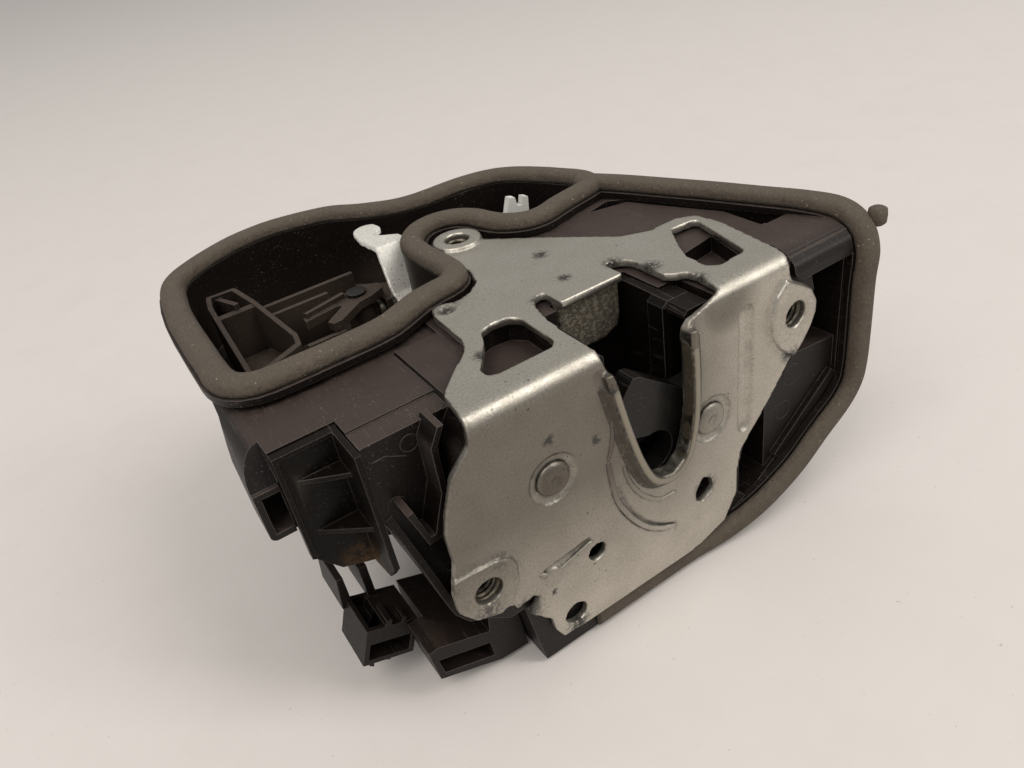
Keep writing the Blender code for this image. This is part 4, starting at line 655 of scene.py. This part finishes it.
def sideways(run, up, closed):
    """The step from the point before to the one after, and the unit vector square to it and to up."""
    ahead = (np.roll(run, -1, 0) - np.roll(run, 1, 0)) if closed else np.gradient(run, axis=0)
    side = np.cross(ahead, up)
    return ahead, side / np.linalg.norm(side, axis=1, keepdims=True)


def square_to(run):
    """On a flat run of two coordinates, the unit vector to the right of the way ahead."""
    ahead = np.gradient(run, axis=0)
    ahead /= np.linalg.norm(ahead, axis=1, keepdims=True)
    return np.stack([ahead[:, 1], -ahead[:, 0]], axis=1)


def tapered(run, over_mm, least):
    """1 along the run, and sqrt(1 - (1 - e / over_mm)^2) where the end is e away, less than over_mm."""
    way = np.concatenate([[0.0], np.cumsum(np.linalg.norm(np.diff(run, axis=0), axis=1))])
    to_end = np.clip(np.minimum(way, way[-1] - way) / over_mm, 0.0, 1.0)
    return np.sqrt(np.clip(1.0 - (1.0 - to_end) ** 2, least, 1.0))


print("3 points in 8 steps each give", len(smooth_run([(0, 0), (1, 0), (1, 1)], 8, False)), "points")

# %% [markdown]
# The seal is a die-cut and formed foam bead: a loop round the tray and a tail that runs down the outer edge
# of the lock. It could be a bevelled curve, but a bead has a flat sole and a domed crown, so a profile is
# carried along a smooth path instead. The path's points are those of the solid. A slow wave in its width
# keeps it soft.

# %% The seal's run
SEAL_LOOP = [(-64.0, 41.3), (-70.2, 41.9), (-74.2, 45.0), (-75.8, 50.0), (-76.0, 57.0), (-76.0, 72.0),
             (-75.6, 88.0), (-73.6, 104.0), (-70.0, 111.5), (-63.5, 116.8), (-56.5, 120.8), (-49.7, 123.3),
             (-43.0, 124.2), (-37.0, 123.8), (-29.5, 121.6), (-22.8, 118.6), (-16.6, 112.6), (-11.0, 108.0),
             (-6.2, 105.2), (-1.0, 103.8), (5.0, 103.6), (11.0, 103.8), (16.2, 103.5), (21.2, 102.2),
             (25.6, 100.2), (29.3, 96.6), (32.0, 92.6), (34.4, 88.2), (37.0, 82.6), (38.9, 78.0),
             (39.6, 73.6), (38.2, 69.6), (34.0, 67.8), (29.0, 66.7), (23.6, 65.4), (18.0, 63.6),
             (13.6, 63.4), (10.0, 65.2), (7.2, 68.4), (5.4, 73.0), (4.0, 78.2), (0.8, 82.4), (-4.0, 84.6),
             (-9.2, 84.0), (-13.4, 81.0), (-16.2, 76.4), (-17.0, 70.0), (-16.9, 63.0), (-16.6, 56.6),
             (-17.4, 51.6), (-20.6, 48.6), (-25.0, 47.8), (-30.0, 46.6), (-35.0, 44.4), (-40.0, 42.2),
             (-46.0, 41.4), (-55.0, 41.3)]
# each point of the tail has a fourth number, the turn of its crown from up towards the front, in degrees
SEAL_TAIL = [(37.6, 74.6, 0.0, 0.0), (41.2, 68.0, 0.0, 0.0), (44.6, 61.0, 0.0, 0.0), (49.0, 50.5, 0.0, 0.0),
             (53.6, 39.5, 0.0, 0.0), (58.7, 26.2, 0.0, 0.0), (62.6, 15.6, 0.0, 4.0),
             (64.9, 7.6, -0.6, 22.0), (65.6, 2.6, -3.4, 62.0), (65.4, 0.0, -8.6, 88.0),
             (65.2, 0.0, -17.0, 90.0), (65.8, 0.0, -31.5, 90.0), (65.9, 0.0, -40.0, 90.0),
             (65.0, 0.0, -46.2, 90.0), (61.0, 0.0, -51.4, 90.0), (52.7, 0.0, -57.0, 90.0),
             (43.5, 0.0, -63.6, 90.0), (32.2, 0.8, -69.6, 90.0), (22.0, 2.6, -73.6, 90.0),
             (10.4, 4.0, -74.6, 90.0), (-3.2, 4.0, -74.6, 90.0), (-14.0, 4.0, -74.6, 90.0),
             (-21.9, 4.0, -74.5, 90.0)]
loop_run = np.pad(smooth_run(SEAL_LOOP, 6, True), ((0, 0), (0, 1)))
loop_up = np.tile([0.0, 0.0, 1.0], (len(loop_run), 1))
tail_run = smooth_run(SEAL_TAIL, 8, False)
tail_turn = np.radians(tail_run[:, 3])
tail_up = np.stack([0 * tail_turn, -np.sin(tail_turn), np.cos(tail_turn)], axis=1)
print("seal:", len(loop_run), "and", len(tail_run), "points")

# %% [markdown]
# The profile is a dome on a flat sole. A power below 1 makes its shoulders fuller than a circle's. The
# tail's crown is a hair lower than the loop's, so that no two faces share a place where they join.

# %% The seal's bead
BEAD_HALF, BEAD_HIGH, BEAD_FULL = 3.25, 3.15, 0.75
PROFILE_POINTS = 21
TAIL_SINK = 0.06
# the waves in its width: their length in mm over 2 pi, their share of the width and where they start
BEAD_WAVES = ((6.0, 0.022, 0.0), (2.7, 0.015, 1.0))


def bead(run, up, closed, sink=0.0):
    """At angle a the crown is half cos(a)^0.75 sideways and high sin(a)^0.75 up from the run.

    Two sine waves along the run narrow it, and lower it 0.4 times as much.
    """
    ahead, side = sideways(run, up, closed)
    length = np.cumsum(np.linalg.norm(ahead, axis=1)) / 2
    turn_mm = length[-1] / (2 * math.pi)
    wave = 1.0 + sum(share * np.sin(round(turn_mm / wave_mm) * length / turn_mm + start)
                     for wave_mm, share, start in BEAD_WAVES)
    a = np.linspace(0.0, math.pi, PROFILE_POINTS)
    across = BEAD_HALF * np.sign(np.cos(a)) * np.abs(np.cos(a)) ** BEAD_FULL
    crown = (BEAD_HIGH - sink) * np.sin(a) ** BEAD_FULL
    narrower, lower = np.minimum(wave, 1.0), 1.0 - 0.4 * np.abs(wave - 1.0)
    return (run[:, None] + side[:, None] * (across * narrower[:, None])[..., None]
            + up[:, None] * (crown * lower[:, None])[..., None])


seal_loop = grid_piece("seal_loop", bead(loop_run, loop_up, True), foam, body_of["foam_seal"],
                       loop_rows=True)
grid_piece("seal_tail", bead(tail_run[:, :3], tail_up, False, TAIL_SINK), foam, body_of["foam_seal"])

# %% [markdown]
# A round piece is a profile spun about an axis, as on a lathe. The seal carries one, a small nub of the
# same foam that stands off its outer corner.

# %% Turned pieces and the seal's nub


def rings_about(centre, axis, radius, along):
    """Circles round an axis through centre, one for each row of radius. The axis is 1 for Y, 2 for Z."""
    steps = radius.shape[1]
    ang = np.arange(steps) * 2 * math.pi / steps
    second = 2 if axis == 1 else 1
    rings = np.zeros(radius.shape + (3,))
    rings[..., 0] = centre[0] + radius * np.cos(ang)
    rings[..., second] = centre[1] + radius * np.sin(ang)
    rings[..., axis] = along[:, None]
    return rings


def turned(name, profile, centre, axis, mat, like, steps):
    """A profile of (radius, place along the axis) spun round it, on the body of the solid like."""
    r, along = np.asarray(profile, float).T
    rings = rings_about(centre, axis, np.tile(r[:, None], (1, steps)), along)
    return grid_piece(name, rings, mat, body_of[like])


NUB = [(0.0, -3.9), (1.6, -3.9), (2.2, -3.3), (2.3, -1.4), (2.1, 0.0), (1.5, 0.4), (0.0, 0.5)]
turned("seal_nub", NUB, (69.7, 0.6), 2, foam, "foam_seal", 24)
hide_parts("foam_seal")

# %% [markdown]
# The fork and the pawl turn on stepped rivets whose heads were peened into the plate. A peened head has a
# dished face with a small centre mark from the tool and a rolled edge, so its profile is spun about the
# rivet's axis.

# %% Peened rivets
RIVET_SHAFT = [(3.1, 0.6), (3.1, 3.1), (4.6, 3.1), (4.6, 12.1), (3.0, 12.1), (3.0, 14.7), (4.4, 14.7),
               (4.0, 15.5), (0.0, 15.7)]
FORK_HEAD = [(0.0, 0.05), (0.8, -0.02), (1.15, -0.30), (1.5, -0.52), (2.4, -0.56), (3.1, -0.42),
             (3.7, -0.12), (4.05, 0.2), (4.2, 0.5)]
PAWL_HEAD = [(0.0, -0.30), (0.7, -0.36), (1.1, -0.62), (1.7, -0.78), (2.5, -0.70), (3.2, -0.46),
             (3.7, -0.14), (4.05, 0.2), (4.2, 0.5)]
for rivet, head, at in (("fork_rivet", FORK_HEAD, (15.0, -32.2)), ("pawl_rivet", PAWL_HEAD, (-28.9, -23.5))):
    peened = turned(rivet + "_peened", head + RIVET_SHAFT, at, 1, plate_zinc, rivet, 48)
    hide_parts(rivet)

# %% [markdown]
# Three screws hold the lock in the door, so the plate has three drawn and threaded holes. A thread is a
# profile that moves forward as it turns: the inner radius follows a wave in the place along the axis less
# the turn times the pitch. The sleeve is closed by a plain outer wall. The pitch is a little coarser than a
# 6 mm screw's 1 mm, so that it shows.

# %% Threaded sleeves
PITCH, ROWS_A_PITCH, THREAD_STEPS = 1.25, 10, 36
SLEEVE, ROOT, CREST = 3.75, 3.3, 2.75
LEAD_IN = 0.9
CREST_POWER = 0.7  # below 1, so the crests are broad and the roots narrow


def threaded(name, centre, axis, start, end):
    """Inner radius = root - (root - crest) w^0.7. w is a wave along the axis, one pitch later each turn."""
    rows = int(abs(end - start) / PITCH * ROWS_A_PITCH)
    turns = np.arange(THREAD_STEPS) / THREAD_STEPS
    along = np.linspace(start, end, rows)
    phase = (along[:, None] / PITCH - turns[None, :]) * 2 * math.pi
    lead_in = np.clip(np.abs(along - start) / LEAD_IN, 0.0, 1.0)[:, None]
    inner = ROOT - (ROOT - CREST) * lead_in * (0.5 + 0.5 * np.cos(phase)) ** CREST_POWER
    outer = np.full((2, THREAD_STEPS), SLEEVE)
    rings = rings_about(centre, axis, np.vstack([inner, outer]), np.concatenate([along, [end, start]]))
    grid_piece(name, rings, thread_zinc, "lock_body", loop_rows=True)


threaded("right_pad_thread", (40.8, -15.3), 1, 0.6, 8.0)
threaded("left_pad_thread", (-48.8, -41.2), 1, 0.6, 8.0)
threaded("boss_thread", (-6.4, 69.5), 2, -0.6, -8.0)

# %% [markdown]
# The lip round the slot is drawn out of the sheet, so that the striker slides on a rounded edge. Its
# profile is a smooth hump carried along the edge of the slot: d is the way from the edge into the sheet and
# h the height.

# %% Rounded lip of the slot
SLOT_EDGE = [(-12.3, -7.4), (-9.9, -18.6), (-7.4, -28.4), (-4.9, -35.0), (-2.4, -38.2), (1.6, -39.2),
             (5.0, -36.6), (6.8, -31.4), (7.9, -24.0), (8.0, -14.0), (7.65, -7.6)]
LIP = [(0.1, -1.3), (-0.12, -0.6), (-0.12, 1.3), (0.05, 1.85), (0.5, 2.2), (1.1, 2.22), (1.7, 2.0),
       (2.3, 1.45), (2.8, 0.75), (3.3, 0.22), (3.9, 0.02), (3.9, -0.5), (2.0, -1.3)]
LIP_TAPER_MM, LIP_LEAST = 2.0, 0.02


def front_ridge(run, out, height, taper, wide=1.0):
    """Points out * wide beside the run in x and z, and height before the front face where it is above 0."""
    beside = square_to(run)[:, None] * (out * (wide * np.ones(len(run)))[:, None])[..., None]
    points = np.zeros((len(run), len(out), 3))
    points[..., [0, 2]] = run[:, None] + beside
    points[..., 1] = -np.where(height > 0.0, height * taper[:, None], height)
    return points


edge_run = smooth_run(SLOT_EDGE, 8, False)
lip_out, lip_height = smooth_run(LIP, 3, True).T
lip_points = front_ridge(edge_run, lip_out, lip_height, tapered(edge_run, LIP_TAPER_MM, LIP_LEAST))
grid_piece("slot_lip", lip_points, lip_zinc, "lock_body")

# %% [markdown]
# The press also draws stiffening beads into the sheet: a curved pair below the slot, a raised rim along the
# slot's left side, and a short straight one that ends in a round spot. Each is a low half-round, thinner
# towards its ends, laid along its line on the front face. It rises as h sqrt(1 - s^2), where s goes from -1
# to 1 across it, and its sides and sole are sunk in the sheet so that no gap shows.

# %% Pressed beads
CROWN_POINTS = 13
SIDE_SINK, SOLE_SINK, SOLE_HALF = 0.15, 0.4, 0.6
BEAD_TAPER_MM, BEAD_LEAST = 1.4, 0.03


def pressed_bead(name, line, half_mm, high_mm):
    """A half-round of 13 points closed by a sole of two. Its width and its height taper at both ends."""
    run = smooth_run(line, 8, False)
    taper = tapered(run, BEAD_TAPER_MM, BEAD_LEAST)
    s = np.linspace(-1.0, 1.0, CROWN_POINTS)
    crown = np.sqrt(np.clip(1.0 - s ** 2, 0.0, 1.0)) * (high_mm + SIDE_SINK) - SIDE_SINK
    across = np.concatenate([s, [SOLE_HALF, -SOLE_HALF]])
    height = np.concatenate([crown, [-SOLE_SINK, -SOLE_SINK]])
    points = front_ridge(run, -across * half_mm, height, taper, taper)
    grid_piece(name, points, plate_zinc, "lock_body")


pressed_bead("bead_outer", [(-15.3, -26.9), (-14.9, -32.9), (-13.8, -39.5), (-10.9, -45.8), (-7.0, -51.6),
                            (-2.4, -55.6), (2.7, -58.0)], 0.75, 0.42)
pressed_bead("bead_inner", [(-11.4, -30.6), (-9.7, -36.9), (-6.3, -42.6), (-1.6, -46.6), (3.4, -47.2)],
             0.7, 0.4)
pressed_bead("bead_slot", [(-14.9, -4.4), (-13.8, -11.4), (-13.3, -18.4), (-14.1, -23.6), (-15.3, -26.9)],
             0.6, 0.36)
pressed_bead("bead_short", [(-36.4, -46.8), (-32.0, -48.6), (-26.6, -47.6), (-21.6, -46.2)], 0.7, 0.34)

# %% [markdown]
# The mould leaves marks: round ejector pins print shallow rings, and a join in the mould prints a fine
# raised line. Each is a thin round wire half sunk in the wall, drawn as a tube along its own line.

# %% Moulding marks
WALL_Y, PANEL_Y = 11.9, 3.6
MARK_RADIUS, MARK_SIDES, RING_POINTS = 0.11, 8, 40
INTO_WALL = np.array([0.0, 1.0, 0.0])


def raised_line(name, points_mm, closed=False):
    """A tube of eight sides along a line on a wall that faces the front (-Y)."""
    run = np.asarray(points_mm, float)
    side = sideways(run, INTO_WALL, closed)[1]
    a = np.arange(MARK_SIDES) * 2 * math.pi / MARK_SIDES
    ring = side[:, None] * np.cos(a)[None, :, None] + INTO_WALL * np.sin(a)[None, :, None]
    grid_piece(name, run[:, None] + MARK_RADIUS * ring, housing_plastic, "lock_body",
               loop_rows=closed)


def ejector_ring(name, centre_mm, radius_mm):
    """A circle of 40 points in the plane of a front wall."""
    a = np.arange(RING_POINTS) * 2 * math.pi / RING_POINTS
    circle = np.stack([centre_mm[0] + radius_mm * np.cos(a), np.full(RING_POINTS, centre_mm[1]),
                       centre_mm[2] + radius_mm * np.sin(a)], axis=1)
    raised_line(name, circle, True)


ejector_ring("wall_ring_1", (-52.3, WALL_Y, -7.4), 1.9)
ejector_ring("wall_ring_2", (-58.2, WALL_Y, -19.7), 1.9)
ejector_ring("panel_ring_1", (46.2, PANEL_Y, -37.0), 3.0)
ejector_ring("panel_ring_2", (43.8, PANEL_Y, -47.0), 2.6)
raised_line("wall_line", [(-60.5, WALL_Y, -7.7), (-57.7, WALL_Y, -7.6), (-53.4, WALL_Y, -9.9)])

# %% [markdown]
# The table is a pale matt laminate, far larger than the lock, so that its edge never shows. It carries
# faint smudges and a few grains, as a workshop table does.

# %% Table
TABLE_HALF = 9.0
corners = [(x * TABLE_HALF, y * TABLE_HALF, cad_box[0][2]) for x, y in ((-1, -1), (1, -1), (1, 1), (-1, 1))]
table_data = bpy.data.meshes.new("table")
table_data.from_pydata(corners, [], [(0, 1, 2, 3)])
table = bpy.data.objects.new("table", table_data)
bpy.context.scene.collection.objects.link(table)
laminate, laminate_shader, laminate_where = begin("pale laminate", "#d9d3cf", 0.0, 0.55)
smudges = spots(laminate, laminate_where, 22.0, 0.45, 0.8, 5.0, 0.65)
grains = spots(laminate, laminate_where, 1.3, 0.74, 0.78)
top_colour = painted(laminate, linear("#d9d3cf"), (joined(laminate, [smudges, 0.16], "MULTIPLY"), "#c4bcb6"),
                     (joined(laminate, [grains, 0.5], "MULTIPLY"), "#a39a92"))
drive(laminate, laminate_shader, {"Base Color": top_colour})
table_data.materials.append(laminate)
print("table at z =", round(cad_box[0][2] / MM, 2), "mm")

# %% [markdown]
# The light is plain: a pale room all round, a big soft lamp high on the left and the main one in front on
# the right. The main lamp stands where the plate's bends mirror it to the camera, which draws the long
# bright line along them.

# %% Room and lamps
ROOM_STRENGTH = 0.59
world = bpy.data.worlds.new("room")
bpy.context.scene.world = world
world.use_nodes = True
world.node_tree.nodes["Background"].inputs["Color"].default_value = linear("#f3f1ee")
world.node_tree.nodes["Background"].inputs["Strength"].default_value = ROOM_STRENGTH


def lamp(name, at_mm, towards_mm, wide_mm, tall_mm, watts, colour):
    """A soft lamp of wide_mm by tall_mm at at_mm that faces towards_mm."""
    data = bpy.data.lights.new(name, "AREA")
    data.shape = "RECTANGLE"
    data.size = wide_mm * MM
    data.size_y = tall_mm * MM
    data.energy = watts
    data.color = linear(colour)[:3]
    made = bpy.data.objects.new(name, data)
    bpy.context.scene.collection.objects.link(made)
    z = np.array(at_mm, float) - np.array(towards_mm, float)
    z /= np.linalg.norm(z)
    x = np.cross([0.0, 0.0, 1.0], z)
    x /= np.linalg.norm(x)
    made.matrix_world = placed(x, np.cross(z, x), z, np.array(at_mm) * MM)
    print(name, watts, "W")


lamp("ceiling_lamp", (-1100, -500, 1800), (0, 20, -20), 1400, 1400, 20.0, "#fffaf4")
lamp("bend_lamp", (960, -940, 1480), (0, 0, 0), 520, 1900, 19.0, "#fffcf6")
bpy.context.scene.view_settings.view_transform = "Standard"
